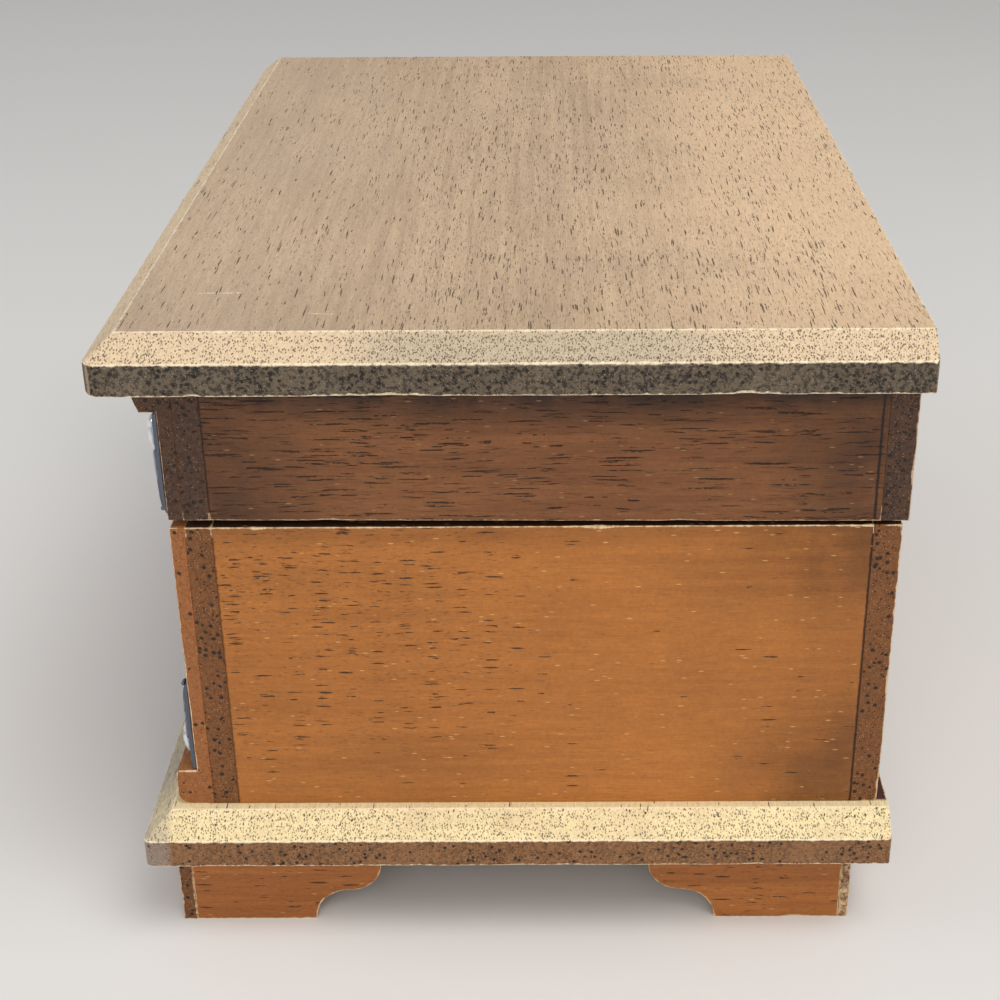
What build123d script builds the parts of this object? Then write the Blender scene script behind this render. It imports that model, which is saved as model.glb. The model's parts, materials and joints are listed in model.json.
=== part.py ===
from build123d import *
from math import cos, pi, radians, sin
import os

# A wooden musical jewelry box. Millimetres, +Z up, front towards -Y, length along X.
# The origin is on the floor under the middle of the two bevelled boards.

# Bevelled boards: the lid's top and the base
board_length = 226.5
board_depth = 150.0
board_thick = 10.3
bevel_run = 5.3
bevel_drop = 4.2
corner_round = 1.4

# Heights
foot_height = 19.2
body_height = 63.0
lid_depth = 29.6
gap_front = 1.6
gap_back = 0.8

# Walls, and how they are set back on the boards
wall_thick = 5.0
back_thick = 5.3
overlay_thick = 2.8
end_margin = 1.9
lip_setback = 1.25
lip_proud = 4.2
lip_height = 8.0
lid_lip_height = 6.1
lid_lip_cut = 1.0
lid_lip_round = 1.2
lip_round_low = 2.4
lip_round_high = 0.9
back_setback = 2.2
rim_back_proud = 1.1

# Feet: thin boards with an ogee cut between two brackets
foot_inset_end = 7.0
foot_inset_front = 4.65
foot_inset_back = 6.2
foot_front_thick = 2.8
foot_back_thick = 2.0
foot_end_thick = 5.0
foot_length = 28.0
ogee_low = 7.4
ogee_high = 6.6
block_size = 9.0
block_short = 1.2

# Corner mounts on the front
mount_plate = 0.8
mount_margin = 0.3
boss_radii = (5.4, 3.4, 2.4)
boss_heights = (2.4, 1.6, 1.0)
boss_overlap = 0.8
side_boss_share = 0.8
dome_bulge = (0.54, 0.74)

# Back hinges
hinge_end_gap = 44.05
hinge_length = 24.0
hinge_leaf = 0.36
leaf_part = 0.06
knuckle_radius = 1.3
knuckle_part = 0.2
pin_radius = 0.6
hinge_back_clear = 0.05
notch_clear = 0.3
hinge_screw_radius = 0.7
hinge_screw_head = 1.3
hinge_screw_length = 7.0
hinge_screw_place = 8.4
hinge_screw_shift = 0.2
leaf_clear = 0.1
screw_clear = 0.03
run_clear = 0.05

# Lining, dividers and the ring holder
lining_thick = 1.2
lining_drop = 4.0
divider_thick = 3.0
divider_drop = 10.5
small_room_length = 68.85
music_room_depth = 58.3
ring_count = 5
ring_gap = 0.5
ring_height = 15.0
ring_sink = 1.0
roll_foot_inset = 1.2
roll_waist = 0.3
roll_end_round = 2.0
platform_thick = 2.0
seat_clear = 0.1
pad_thick = 3.0
pad_levels = ((0.0, 0.9), (0.4, 0.3), (0.75, 2.2), (1.0, 8.0))
pad_corner = 1.5

# Inside the lid
lid_lining_thick = 1.0
lid_lining_lift = 3.0
mirror_end_border = 21.05
mirror_side_border = 19.525
mirror_thick = 2.0
mirror_bevel = 0.8
surround_thick = 4.0
surround_lap = 2.0
surround_bevel = 1.2
bumper_radius = 2.1
bumper_height = 1.2
bumper_end_gap = 18.05

# Musical movement
drum_end_gap = 25.85
drum_back_gap = 41.8
fixing_margin = 3.5
bed_thick = 2.5
bed_left = 12.0
bed_right = 28.0
bed_front = 11.0
bed_back = 40.6
drum_radius = 9.2
drum_wall = 0.8
drum_height = 7.6
drum_lift = 0.4
arbor_radius = 1.6
spring_lift = 0.4
spring_drop = 0.2
spring_clear = 0.1
base_key_hole = 5.0
crown_teeth = 32
crown_inner = 7.0
crown_outer = 9.0
crown_tooth = 0.8
fine_tooth = 0.42
pinion_teeth = 12
pinion_tip = 3.4
pinion_root = 2.5
crown_mesh = 0.45
pinion_side = 0.1
arbor_stub = 0.4
tooth_bite = 0.3
root_clear = 0.1
weld = 0.1
cylinder_radius = 6.2
cylinder_length = 19.0
cylinder_wall = 1.0
cylinder_start = 12.0
pin_height = 0.5
pin_thick = 0.22
note_count = 18
pins_per_note = 3
pin_end_gap = 0.5
pin_step = 67
pin_scatter = 13
pin_spread = 40
spindle_radius = 1.2
cheek_thick = 1.7
cheek_width = 9.0
cheek_shoulder = 1.0
wheel_module = 0.45
wheel_teeth = 30
idler_teeth = 10
wheel_thick = 1.2
gear_part = 0.5
worm_part = 1.2
worm_wheel_teeth = 20
worm_wheel_pitch = 5.0
worm_wheel_thick = 1.4
worm_pitch_radius = 1.6
worm_core = 1.1
worm_depth = 0.45
worm_turns = 4
worm_collar = 0.6
worm_lift = 0.6
tooth_depth = 0.4
fan_radius = 4.3
fan_height = 2.2
fan_blades = 4
fan_hub = 1.4
fan_seat = 0.2
blade_thick = 0.5
bridge_thick = 1.2
bridge_drop = 0.3
bridge_reach = 2.7
governor_reach = 4.0
governor_rise = 2.6
back_plate_reach = 2.6
governor_foot = 1.5
bearing_floor = 0.5

# Comb
comb_thick = 1.2
comb_tooth_thick = 0.6
comb_root = 10.0
comb_ledge_lap = 0.6
comb_ledge_front = 1.0
comb_ledge_back = 0.3
comb_edge_gap = 0.25
comb_tooth_share = 0.7
comb_screw_radius = 1.0
comb_screw_head = 1.9
comb_screw_length = 6.0
comb_screw_head_height = 1.1
comb_screw_slot = 0.5
comb_slot_half = 0.3
comb_screw_shares = (0.15, 0.5, 0.85)
comb_screw_reach = 4.6

# Cover over the movement, start rod and winding key
cover_thick = 2.0
cover_lift = 32.5
ledge_height = 4.0
ledge_front = 4.0
ledge_back = 3.0
rod_radius = 1.0
rod_disc_radius = 2.2
rod_disc_thick = 1.0
guide_wall = 0.8
guide_seam_gap = 2.5
guide_flange = 3.2
guide_flange_thick = 0.8
rod_round = 0.4
brake_gap = 0.3
start_block_length = 10.0
start_block_height = 8.0
start_block_reach = 11.6
key_wing_length = 24.0
key_wing_height = 9.0
key_wing_thick = 1.8
key_floor_gap = 3.0
key_hub_lift = 3.0
key_hole_radius = 2.0
key_wing_round = 4.4
key_hub_radius = 3.0
key_top_gap = 1.0
fixing_radius = 1.25
fixing_head_radius = 2.4
fixing_head_height = 1.6
fixing_sink = 3.0

# Heights worked out from these
base_top = foot_height + board_thick
seam = base_top + body_height
lid_under = seam + lid_depth
bed_top = base_top + bed_thick

# Faces of the walls worked out from these
board_end = board_length / 2
front_edge = -board_depth / 2
back_edge = board_depth / 2
end_face = board_end - bevel_run - end_margin
end_inner = end_face - wall_thick
lip_face = front_edge + bevel_run + lip_setback
overlay_face = lip_face + lip_proud
front_outer = overlay_face + overlay_thick
front_inner = front_outer + wall_thick
back_outer = back_edge - back_setback
back_inner = back_outer - back_thick
rim_back_outer = back_outer + rim_back_proud
rim_back_inner = rim_back_outer - back_thick

# The room between the linings, and what is placed from its ends
lining_top = seam - lining_drop
room_end = end_inner - lining_thick
room_front = front_inner + lining_thick
room_back = back_inner - lining_thick
drum_axis_x = -room_end + drum_end_gap
drum_axis_y = room_back - drum_back_gap
hinge_place = end_face - hinge_end_gap
bumper_place = end_face - bumper_end_gap

# Hinge axis, low in the seam and just inside the boards' back edge
hinge_y = back_edge - hinge_back_clear - knuckle_radius
hinge_z = seam + hinge_leaf + leaf_part / 2

# The rim's lower edge lies in this slanted plane
seam_plane = Plane(
    origin=(0, rim_back_outer, seam + gap_back),
    x_dir=(1, 0, 0),
    z_dir=(0, gap_front - gap_back, rim_back_outer - overlay_face),
)

os.makedirs("parts", exist_ok=True)


# Writes one finished piece
def save(piece, label):
    piece.part.label = label
    export_step(piece.part, f"parts/{label}.step")


# A block between two values along each axis, for the part being built
def block(x_span, y_span, z_span, mode=Mode.ADD):
    spans = (x_span, y_span, z_span)
    middle = [(low + high) / 2 for low, high in spans]
    sizes = [high - low for low, high in spans]
    with Locations(tuple(middle)):
        Box(*sizes, mode=mode)


# An upright round bar, for the part being built
def post(x, y, z_span, radius, mode=Mode.ADD):
    low, high = z_span
    with Locations((x, y, (low + high) / 2)):
        Cylinder(radius, high - low, mode=mode)


# A round bar along Y, for the part being built
def spindle(x, y_span, z, radius, mode=Mode.ADD):
    low, high = y_span
    with Locations(Location((x, (low + high) / 2, z), (90, 0, 0))):
        Cylinder(radius, high - low, mode=mode)


# A round bar along X, for the part being built
def barrel_along_x(x_span, y, z, radius, mode=Mode.ADD):
    low, high = x_span
    with Locations(Location(((low + high) / 2, y, z), (0, 90, 0))):
        Cylinder(radius, high - low, mode=mode)


# Outline of a bevelled board at one height, drawn in from its front and both ends
def board_outline(inset, height, rounding):
    with BuildSketch(Plane.XY.offset(height)) as outline:
        with Locations((0, inset / 2)):
            Rectangle(board_length - 2 * inset, board_depth - inset)
        fillet(outline.vertices().group_by(Axis.Y)[0], rounding)
    return outline.sketch


# A board with a bevel along its front and both ends, and a square back edge
def bevelled_board(bottom):
    bevel_foot = bottom + board_thick - bevel_drop
    extrude(board_outline(0, bottom, corner_round), amount=board_thick - bevel_drop)
    wide = board_outline(0, bevel_foot, corner_round)
    narrow = board_outline(bevel_run, bottom + board_thick, corner_round / 2)
    loft([wide, narrow], ruled=True)


# Where the musical movement's fixing screws stand
fixing_points = (
    (drum_axis_x - bed_left + fixing_margin, drum_axis_y - bed_front + fixing_margin),
    (drum_axis_x + bed_right - fixing_margin, drum_axis_y - bed_front + fixing_margin),
    (drum_axis_x - bed_left + fixing_margin, drum_axis_y + bed_back - fixing_margin),
)

# Base board, with the key's hole and sunk holes for the fixing screws
with BuildPart() as base_board:
    bevelled_board(foot_height)
    post(drum_axis_x, drum_axis_y, (foot_height, base_top), base_key_hole, Mode.SUBTRACT)
    for x, y in fixing_points:
        post(x, y, (foot_height, base_top), fixing_radius + run_clear, Mode.SUBTRACT)
        sunk = (foot_height, foot_height + fixing_sink)
        post(x, y, sunk, fixing_head_radius + 2 * notch_clear, Mode.SUBTRACT)
save(base_board, "base_board")


# A foot board on a plane: an ogee cut leaves a bracket at each end
def foot_board(plane, low, high, thick):
    cut_low = low + foot_length
    cut_high = high - foot_length
    cut_top = ogee_low + ogee_high
    with BuildSketch(plane) as outline:
        with BuildLine():
            Polyline((cut_low, 0), (low, 0), (low, foot_height), (high, foot_height), (high, 0), (cut_high, 0))
            rise = JernArc((cut_low, 0), (0, 1), ogee_low, -90)
            JernArc(rise @ 1, (1, 0), ogee_high, 90)
            fall = JernArc((cut_high - cut_top, cut_top), (0, -1), ogee_high, 90)
            JernArc(fall @ 1, (1, 0), ogee_low, -90)
            Line((cut_low + cut_top, cut_top), (cut_high - cut_top, cut_top))
        make_face()
    extrude(outline.sketch, amount=thick)


foot_end_face = board_end - foot_inset_end
foot_front_face = front_edge + foot_inset_front
foot_back_face = back_edge - foot_inset_back
foot_end_front = foot_front_face + foot_front_thick
foot_end_back = foot_back_face - foot_back_thick

with BuildPart() as foot_front:
    foot_board(Plane.XZ.offset(-foot_end_front), -foot_end_face, foot_end_face, foot_front_thick)
save(foot_front, "foot_front")

with BuildPart() as foot_back:
    foot_board(Plane.XZ.offset(-foot_back_face), -foot_end_face, foot_end_face, foot_back_thick)
save(foot_back, "foot_back")


# An end foot stands between the front and back ones, so it is cut back by their thickness
def end_foot(x_low):
    foot_board(Plane.YZ.offset(x_low), foot_front_face, foot_back_face, foot_end_thick)
    x_span = (x_low, x_low + foot_end_thick)
    block(x_span, (foot_front_face, foot_end_front), (0, foot_height), Mode.SUBTRACT)
    block(x_span, (foot_end_back, foot_back_face), (0, foot_height), Mode.SUBTRACT)


with BuildPart() as foot_left:
    end_foot(-foot_end_face)
save(foot_left, "foot_left")

with BuildPart() as foot_right:
    end_foot(foot_end_face - foot_end_thick)
save(foot_right, "foot_right")

# Square glue blocks in the four corners behind the feet
with BuildPart() as foot_blocks:
    for side in (-1, 1):
        inner = foot_end_face - foot_end_thick
        x_span = sorted((side * inner, side * (inner - block_size)))
        block(x_span, (foot_end_front, foot_end_front + block_size), (block_short, foot_height))
        block(x_span, (foot_end_back - block_size, foot_end_back), (block_short, foot_height))
save(foot_blocks, "foot_blocks")

# Hinge screws stand in the edges of the back boards
hinge_screw_y = (back_inner + hinge_y - knuckle_radius) / 2 + hinge_screw_shift
hinge_screw_x = [
    side * hinge_place + end * hinge_screw_place for side in (-1, 1) for end in (-1, 1)
]


# Countersunk screws from the leaves' faces, up or down; clear widens them to make their holes
def hinge_screws(direction, clear=0.0, mode=Mode.ADD):
    face = hinge_z + direction * leaf_part / 2
    cone = hinge_screw_head - hinge_screw_radius
    with BuildSketch(Plane.XZ, mode=Mode.PRIVATE) as half:
        with BuildLine():
            Polyline(
                (0, 0),
                (hinge_screw_head + clear, 0),
                (hinge_screw_radius + clear, direction * cone),
                (hinge_screw_radius + clear, direction * hinge_screw_length),
                (0, direction * (hinge_screw_length + hinge_screw_radius / 2)),
                close=True,
            )
        make_face()
    screw = revolve(half.sketch, axis=Axis.Z, mode=Mode.PRIVATE)
    with Locations(*[(x, hinge_screw_y, face) for x in hinge_screw_x]):
        add(screw, mode=mode)


# The room that each hinge barrel needs in the back boards
def hinge_notches():
    reach = knuckle_radius + notch_clear
    for side in (-1, 1):
        x_span = (
            side * hinge_place - hinge_length / 2 - notch_clear,
            side * hinge_place + hinge_length / 2 + notch_clear,
        )
        block(x_span, (hinge_y - reach, back_edge), (hinge_z - reach, hinge_z + reach), Mode.SUBTRACT)


# Body walls: the front and back boards cover the end panels' edges
with BuildPart() as body_front_board:
    block((-end_face, end_face), (front_outer, front_inner), (base_top, seam))
save(body_front_board, "body_front_board")

with BuildPart() as body_back_board:
    block((-end_face, end_face), (back_inner, back_outer), (base_top, seam))
    hinge_notches()
    hinge_screws(-1, screw_clear, Mode.SUBTRACT)
save(body_back_board, "body_back_board")

with BuildPart() as body_left_panel:
    block((-end_face, -end_inner), (front_inner, back_inner), (base_top, seam))
save(body_left_panel, "body_left_panel")

with BuildPart() as body_right_panel:
    block((end_inner, end_face), (front_inner, back_inner), (base_top, seam))
save(body_right_panel, "body_right_panel")

# Front overlay of the body, with a rounded lip along its foot
with BuildPart() as body_front_overlay:
    with BuildSketch(Plane.YZ.offset(-end_face)) as profile:
        with BuildLine():
            Polyline(
                (front_outer, base_top),
                (front_outer, seam),
                (overlay_face, seam),
                (overlay_face, base_top + lip_height),
                (lip_face, base_top + lip_height),
                (lip_face, base_top),
                close=True,
            )
        make_face()
        lip_corners = profile.vertices().sort_by(Axis.X)[:2].sort_by(Axis.Y)
        fillet(lip_corners[0], lip_round_low)
        fillet(profile.vertices().sort_by(Axis.X)[:2].sort_by(Axis.Y)[-1], lip_round_high)
    extrude(amount=2 * end_face)
save(body_front_overlay, "body_front_overlay")

# Lid board
with BuildPart() as lid_top_board:
    bevelled_board(lid_under)
save(lid_top_board, "lid_top_board")


# A rim board of the lid, trimmed along the slanted seam
def rim_board(x_span, y_span):
    block(x_span, y_span, (seam, lid_under))
    split(bisect_by=seam_plane, keep=Keep.TOP)


with BuildPart() as lid_front_board:
    rim_board((-end_face, end_face), (front_outer, front_inner))
save(lid_front_board, "lid_front_board")

with BuildPart() as lid_back_board:
    rim_board((-end_face, end_face), (rim_back_inner, rim_back_outer))
    hinge_notches()
    hinge_screws(1, screw_clear, Mode.SUBTRACT)
save(lid_back_board, "lid_back_board")

with BuildPart() as lid_left_panel:
    rim_board((-end_face, -end_inner), (front_inner, rim_back_inner))
save(lid_left_panel, "lid_left_panel")

with BuildPart() as lid_right_panel:
    rim_board((end_inner, end_face), (front_inner, rim_back_inner))
save(lid_right_panel, "lid_right_panel")

# Front overlay of the lid, with a lip under the lid board whose lower edge is undercut
with BuildPart() as lid_front_overlay:
    with BuildSketch(Plane.YZ.offset(-end_face)) as profile:
        lip_foot = lid_under - lid_lip_height
        with BuildLine():
            Polyline(
                (front_outer, seam),
                (front_outer, lid_under),
                (lip_face, lid_under),
                (lip_face, lip_foot + lid_lip_height / 2),
                (lip_face + lid_lip_cut, lip_foot),
                (overlay_face, lip_foot),
                (overlay_face, seam),
                close=True,
            )
        make_face()
        fillet(profile.vertices().sort_by(Axis.X)[:2].sort_by(Axis.Y)[0], lid_lip_round)
    extrude(amount=2 * end_face)
    split(bisect_by=seam_plane, keep=Keep.TOP)
save(lid_front_overlay, "lid_front_overlay")


# A corner mount: a thin plate with a low dome at the corner and smaller ones along both arms.
# side is -1 at the left end and 1 at the right, rise is 1 where the arm climbs from its corner.
def corner_mount(side, corner_z, rise):
    first = boss_radii[0]
    corner_x = end_face - mount_margin
    bosses = [(corner_x - first, first, 0)]
    along = up = first
    for index in (1, 2):
        step = boss_radii[index - 1] + boss_radii[index] - boss_overlap
        along += step
        up += step
        bosses.append((corner_x - along, first * side_boss_share, index))
        bosses.append((corner_x - first * side_boss_share, up, index))
    for x, height, index in bosses:
        radius = boss_radii[index]
        dome = boss_heights[index]
        spindle(side * x, (overlay_face - mount_plate, overlay_face), corner_z + rise * height, radius)
        with BuildSketch(Plane.XZ, mode=Mode.PRIVATE) as half_dome:
            with BuildLine():
                crown = ThreePointArc((0, dome), (radius * dome_bulge[0], dome * dome_bulge[1]), (radius, 0))
                Polyline(crown @ 1, (0, 0), crown @ 0)
            make_face()
        raised = revolve(half_dome.sketch, axis=Axis.Z, mode=Mode.PRIVATE)
        place = (side * x, overlay_face - mount_plate, corner_z + rise * height)
        with Locations(Location(place, (90, 0, 0))):
            add(raised)


for side, side_name in ((-1, "left"), (1, "right")):
    with BuildPart() as body_mount:
        corner_mount(side, base_top + lip_height + mount_margin, 1)
    save(body_mount, f"body_ornament_{side_name}")
    with BuildPart() as lid_mount:
        corner_mount(side, lid_under - lid_lip_height - mount_margin, -1)
    save(lid_mount, f"lid_ornament_{side_name}")


# Leaves and knuckles: the body's leaf has the middle knuckle, the lid's leaf has the outer two
def hinge_knuckles(side, middle):
    centre = side * hinge_place
    third = hinge_length / 3
    if middle:
        return [(centre - third / 2 + knuckle_part / 2, centre + third / 2 - knuckle_part / 2)]
    outer = hinge_length / 2
    return [
        (centre - outer, centre - third / 2 - knuckle_part / 2),
        (centre + third / 2 + knuckle_part / 2, centre + outer),
    ]


def hinge_leaves(direction, middle):
    face = hinge_z + direction * leaf_part / 2
    z_span = sorted((face, face + direction * hinge_leaf))
    leaf_back = hinge_y - knuckle_radius - knuckle_part
    for side in (-1, 1):
        x_span = (side * hinge_place - hinge_length / 2, side * hinge_place + hinge_length / 2)
        leaf_front = rim_back_inner + leaf_clear
        block(x_span, (leaf_front, leaf_back), z_span)
        for knuckle in hinge_knuckles(side, middle):
            block(knuckle, (leaf_back, hinge_y), z_span)
            barrel_along_x(knuckle, hinge_y, hinge_z, knuckle_radius)
        barrel_along_x(x_span, hinge_y, hinge_z, pin_radius + run_clear, Mode.SUBTRACT)
    hinge_screws(direction, screw_clear, Mode.SUBTRACT)


with BuildPart() as hinge_body_leaves:
    hinge_leaves(-1, True)
save(hinge_body_leaves, "hinge_body_leaves")

with BuildPart() as hinge_lid_leaves:
    hinge_leaves(1, False)
save(hinge_lid_leaves, "hinge_lid_leaves")

with BuildPart() as hinge_pins:
    for side in (-1, 1):
        x_span = (side * hinge_place - hinge_length / 2, side * hinge_place + hinge_length / 2)
        barrel_along_x(x_span, hinge_y, hinge_z, pin_radius)
save(hinge_pins, "hinge_pins")

with BuildPart() as hinge_body_screws:
    hinge_screws(-1)
save(hinge_body_screws, "hinge_body_screws")

with BuildPart() as hinge_lid_screws:
    hinge_screws(1)
save(hinge_lid_screws, "hinge_lid_screws")

# Felt dots on the body's front edge, under the lid's rim
with BuildPart() as lid_bumpers:
    for side in (-1, 1):
        bumper_y = (front_outer + front_inner) / 2
        post(side * bumper_place, bumper_y, (seam, seam + bumper_height), bumper_radius)
save(lid_bumpers, "lid_bumpers")

# Lining on the inner faces of the walls
with BuildPart() as wall_lining:
    block((-end_inner, end_inner), (front_inner, back_inner), (base_top, lining_top))
    block((-room_end, room_end), (room_front, room_back), (base_top, lining_top), Mode.SUBTRACT)
save(wall_lining, "wall_lining")

# Dividers: one across the box, then one on each side of it
divider_top = seam - divider_drop
cross_left = -room_end + small_room_length
cross_right = cross_left + divider_thick
music_front = room_back - music_room_depth
ring_back = music_front - 2 * divider_thick

with BuildPart() as divider_cross:
    block((cross_left, cross_right), (room_front, room_back), (base_top, divider_top))
save(divider_cross, "divider_cross")

with BuildPart() as divider_music:
    block((-room_end, cross_left), (music_front - divider_thick, music_front), (base_top, divider_top))
save(divider_music, "divider_music")

with BuildPart() as divider_ring:
    block((cross_right, room_end), (ring_back, ring_back + divider_thick), (base_top, divider_top))
save(divider_ring, "divider_ring")

# Ring holder: soft rolls side by side on a raised platform
platform_top = divider_top - ring_height + ring_sink
with BuildPart() as ring_platform:
    block((cross_right, room_end), (room_front, ring_back), (base_top, platform_top))
    hollow_x = (cross_right + platform_thick, room_end - platform_thick)
    block(hollow_x, (room_front, ring_back), (base_top, platform_top - platform_thick), Mode.SUBTRACT)
save(ring_platform, "ring_platform")

ring_pitch = (ring_back - room_front) / ring_count
roll_width = ring_pitch - ring_gap
roll_shoulder = ring_height - roll_width / 2
for number in range(1, ring_count + 1):
    roll_start = (cross_right + seat_clear, room_front + ring_pitch * (number - 0.5), platform_top)
    with BuildPart() as ring_cushion:
        with BuildSketch(Plane(roll_start, x_dir=(0, 1, 0), z_dir=(1, 0, 0))):
            with BuildLine():
                half = roll_width / 2
                foot = Line((-half + roll_foot_inset, 0), (half - roll_foot_inset, 0))
                waist = half - roll_waist
                right_side = ThreePointArc(foot @ 1, (waist, roll_shoulder / 2), (half, roll_shoulder))
                crown = ThreePointArc(right_side @ 1, (0, ring_height), (-half, roll_shoulder))
                ThreePointArc(crown @ 1, (-waist, roll_shoulder / 2), foot @ 0)
            make_face()
        extrude(amount=room_end - cross_right - 2 * seat_clear)
        for end in (0, -1):
            crown_edge = ring_cushion.faces().sort_by(Axis.X)[end].edges().sort_by(Axis.Z)[-1]
            fillet(crown_edge, roll_end_round)
    save(ring_cushion, f"ring_cushion_{number}")


# A low floor cushion with a crown and drawn-in sides, between four values
def floor_pad(x_span, y_span):
    middle = ((x_span[0] + x_span[1]) / 2, (y_span[0] + y_span[1]) / 2)
    sections = []
    for share, inset in pad_levels:
        with BuildSketch(Plane.XY.offset(base_top + share * pad_thick)) as section:
            with Locations(middle):
                RectangleRounded(
                    x_span[1] - x_span[0] - 2 * inset,
                    y_span[1] - y_span[0] - 2 * inset,
                    pad_corner,
                )
        sections.append(section.sketch)
    loft(sections, ruled=True)


with BuildPart() as floor_pad_bracelet:
    floor_pad((cross_right, room_end), (ring_back + divider_thick, room_back))
save(floor_pad_bracelet, "floor_pad_bracelet")

with BuildPart() as floor_pad_small:
    floor_pad((-room_end, cross_left), (room_front, music_front - divider_thick))
save(floor_pad_small, "floor_pad_small")

# Lining, mirror and padded surround inside the lid
lid_room_end = end_inner - lid_lining_thick
lid_room_front = front_inner + lid_lining_thick
lid_room_back = rim_back_inner - lid_lining_thick
lid_lining_low = seam + lid_lining_lift

with BuildPart() as lid_wall_lining:
    block((-end_inner, end_inner), (front_inner, rim_back_inner), (lid_lining_low, lid_under))
    inside = (-lid_room_end, lid_room_end)
    block(inside, (lid_room_front, lid_room_back), (lid_lining_low, lid_under), Mode.SUBTRACT)
save(lid_wall_lining, "lid_wall_lining")

mirror_y = (lid_room_front + lid_room_back) / 2
mirror_low = lid_under - mirror_thick
mirror_half_length = lid_room_end - mirror_end_border
mirror_half_width = (lid_room_back - lid_room_front) / 2 - mirror_side_border

with BuildPart() as lid_mirror:
    mirror_x_span = (-mirror_half_length, mirror_half_length)
    mirror_y_span = (mirror_y - mirror_half_width, mirror_y + mirror_half_width)
    block(mirror_x_span, mirror_y_span, (mirror_low, lid_under))
    chamfer(lid_mirror.faces().sort_by(Axis.Z)[0].edges(), mirror_bevel)
save(lid_mirror, "lid_mirror")

with BuildPart() as lid_mirror_surround:
    surround_low = lid_under - surround_thick
    outer_x = (-lid_room_end + seat_clear, lid_room_end - seat_clear)
    outer_y = (lid_room_front + seat_clear, lid_room_back - seat_clear)
    block(outer_x, outer_y, (surround_low, lid_under))
    chamfer(lid_mirror_surround.faces().sort_by(Axis.Z)[0].edges(), surround_bevel)
    window_x = (-mirror_half_length + surround_lap, mirror_half_length - surround_lap)
    window_y = (mirror_y_span[0] + surround_lap, mirror_y_span[1] - surround_lap)
    block(window_x, window_y, (surround_low, lid_under), Mode.SUBTRACT)
    rebate_x = (-mirror_half_length - seat_clear, mirror_half_length + seat_clear)
    rebate_y = (mirror_y_span[0] - seat_clear, mirror_y_span[1] + seat_clear)
    block(rebate_x, rebate_y, (mirror_low, lid_under), Mode.SUBTRACT)
save(lid_mirror_surround, "lid_mirror_surround")

# Levels and axes of the musical movement
drum_low = bed_top + drum_lift
drum_top = drum_low + drum_height
crown_top = drum_top + crown_tooth
shaft_z = crown_top + pinion_tip - crown_mesh
cylinder_y = drum_axis_y + cylinder_start
cylinder_end = cylinder_y + cylinder_length
front_cheek = (drum_axis_y + drum_radius + gear_part, drum_axis_y + drum_radius + gear_part + cheek_thick)
wheel_y = (cylinder_end + gear_part, cylinder_end + gear_part + wheel_thick)
rear_cheek = (wheel_y[1] + gear_part, wheel_y[1] + gear_part + cheek_thick)
worm_wheel_y = (rear_cheek[1] + worm_part, rear_cheek[1] + worm_part + worm_wheel_thick)
back_plate = (worm_wheel_y[1] + worm_part, worm_wheel_y[1] + worm_part + cheek_thick)
wheel_pitch = wheel_module * wheel_teeth / 2
idler_pitch = wheel_module * idler_teeth / 2
idler_x = drum_axis_x + wheel_pitch + idler_pitch
worm_x = idler_x + worm_wheel_pitch + worm_pitch_radius
worm_y = (worm_wheel_y[0] + worm_wheel_y[1]) / 2
bridge_low = shaft_z + worm_wheel_pitch - bridge_drop
fan_low = bridge_low + bridge_thick + gear_part
fan_top = fan_low + fan_height
comb_x = drum_axis_x + cylinder_radius + pin_height + comb_edge_gap
comb_root_x = drum_axis_x + bed_right - comb_root
bed_x = (drum_axis_x - bed_left, drum_axis_x + bed_right)
bed_y = (drum_axis_y - bed_front, drum_axis_y + bed_back)

comb_screw_y = [cylinder_y + cylinder_length * share for share in comb_screw_shares]
comb_screw_x = comb_root_x + comb_screw_reach
comb_top = shaft_z + comb_thick / 2


# Cap screws that hold the comb; clear widens them to make their holes
def comb_screw_set(clear=0.0, mode=Mode.ADD):
    for y in comb_screw_y:
        post(comb_screw_x, y, (comb_top - comb_screw_length, comb_top), comb_screw_radius + clear, mode)


# Frame of the movement: bed plate, front cheek and the comb's ledge, in one casting
with BuildPart() as movement_frame:
    block(bed_x, bed_y, (base_top, bed_top))
    cheek_x = (drum_axis_x - cheek_width / 2, drum_axis_x + cheek_width / 2)
    block(cheek_x, front_cheek, (bed_top, shaft_z))
    spindle(drum_axis_x, front_cheek, shaft_z, cheek_width / 2 - cheek_shoulder)
    ledge_y = (cylinder_y - comb_ledge_front, cylinder_end + comb_ledge_back)
    block((comb_root_x - comb_ledge_lap, bed_x[1]), ledge_y, (bed_top, shaft_z - comb_thick / 2))
    spindle(drum_axis_x, front_cheek, shaft_z, spindle_radius + run_clear, Mode.SUBTRACT)
    post(drum_axis_x, drum_axis_y, (base_top, bed_top), arbor_radius + run_clear, Mode.SUBTRACT)
    comb_screw_set(run_clear, Mode.SUBTRACT)
    for x, y in fixing_points:
        post(x, y, (base_top, bed_top), fixing_radius + run_clear, Mode.SUBTRACT)
save(movement_frame, "movement_frame")

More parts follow.
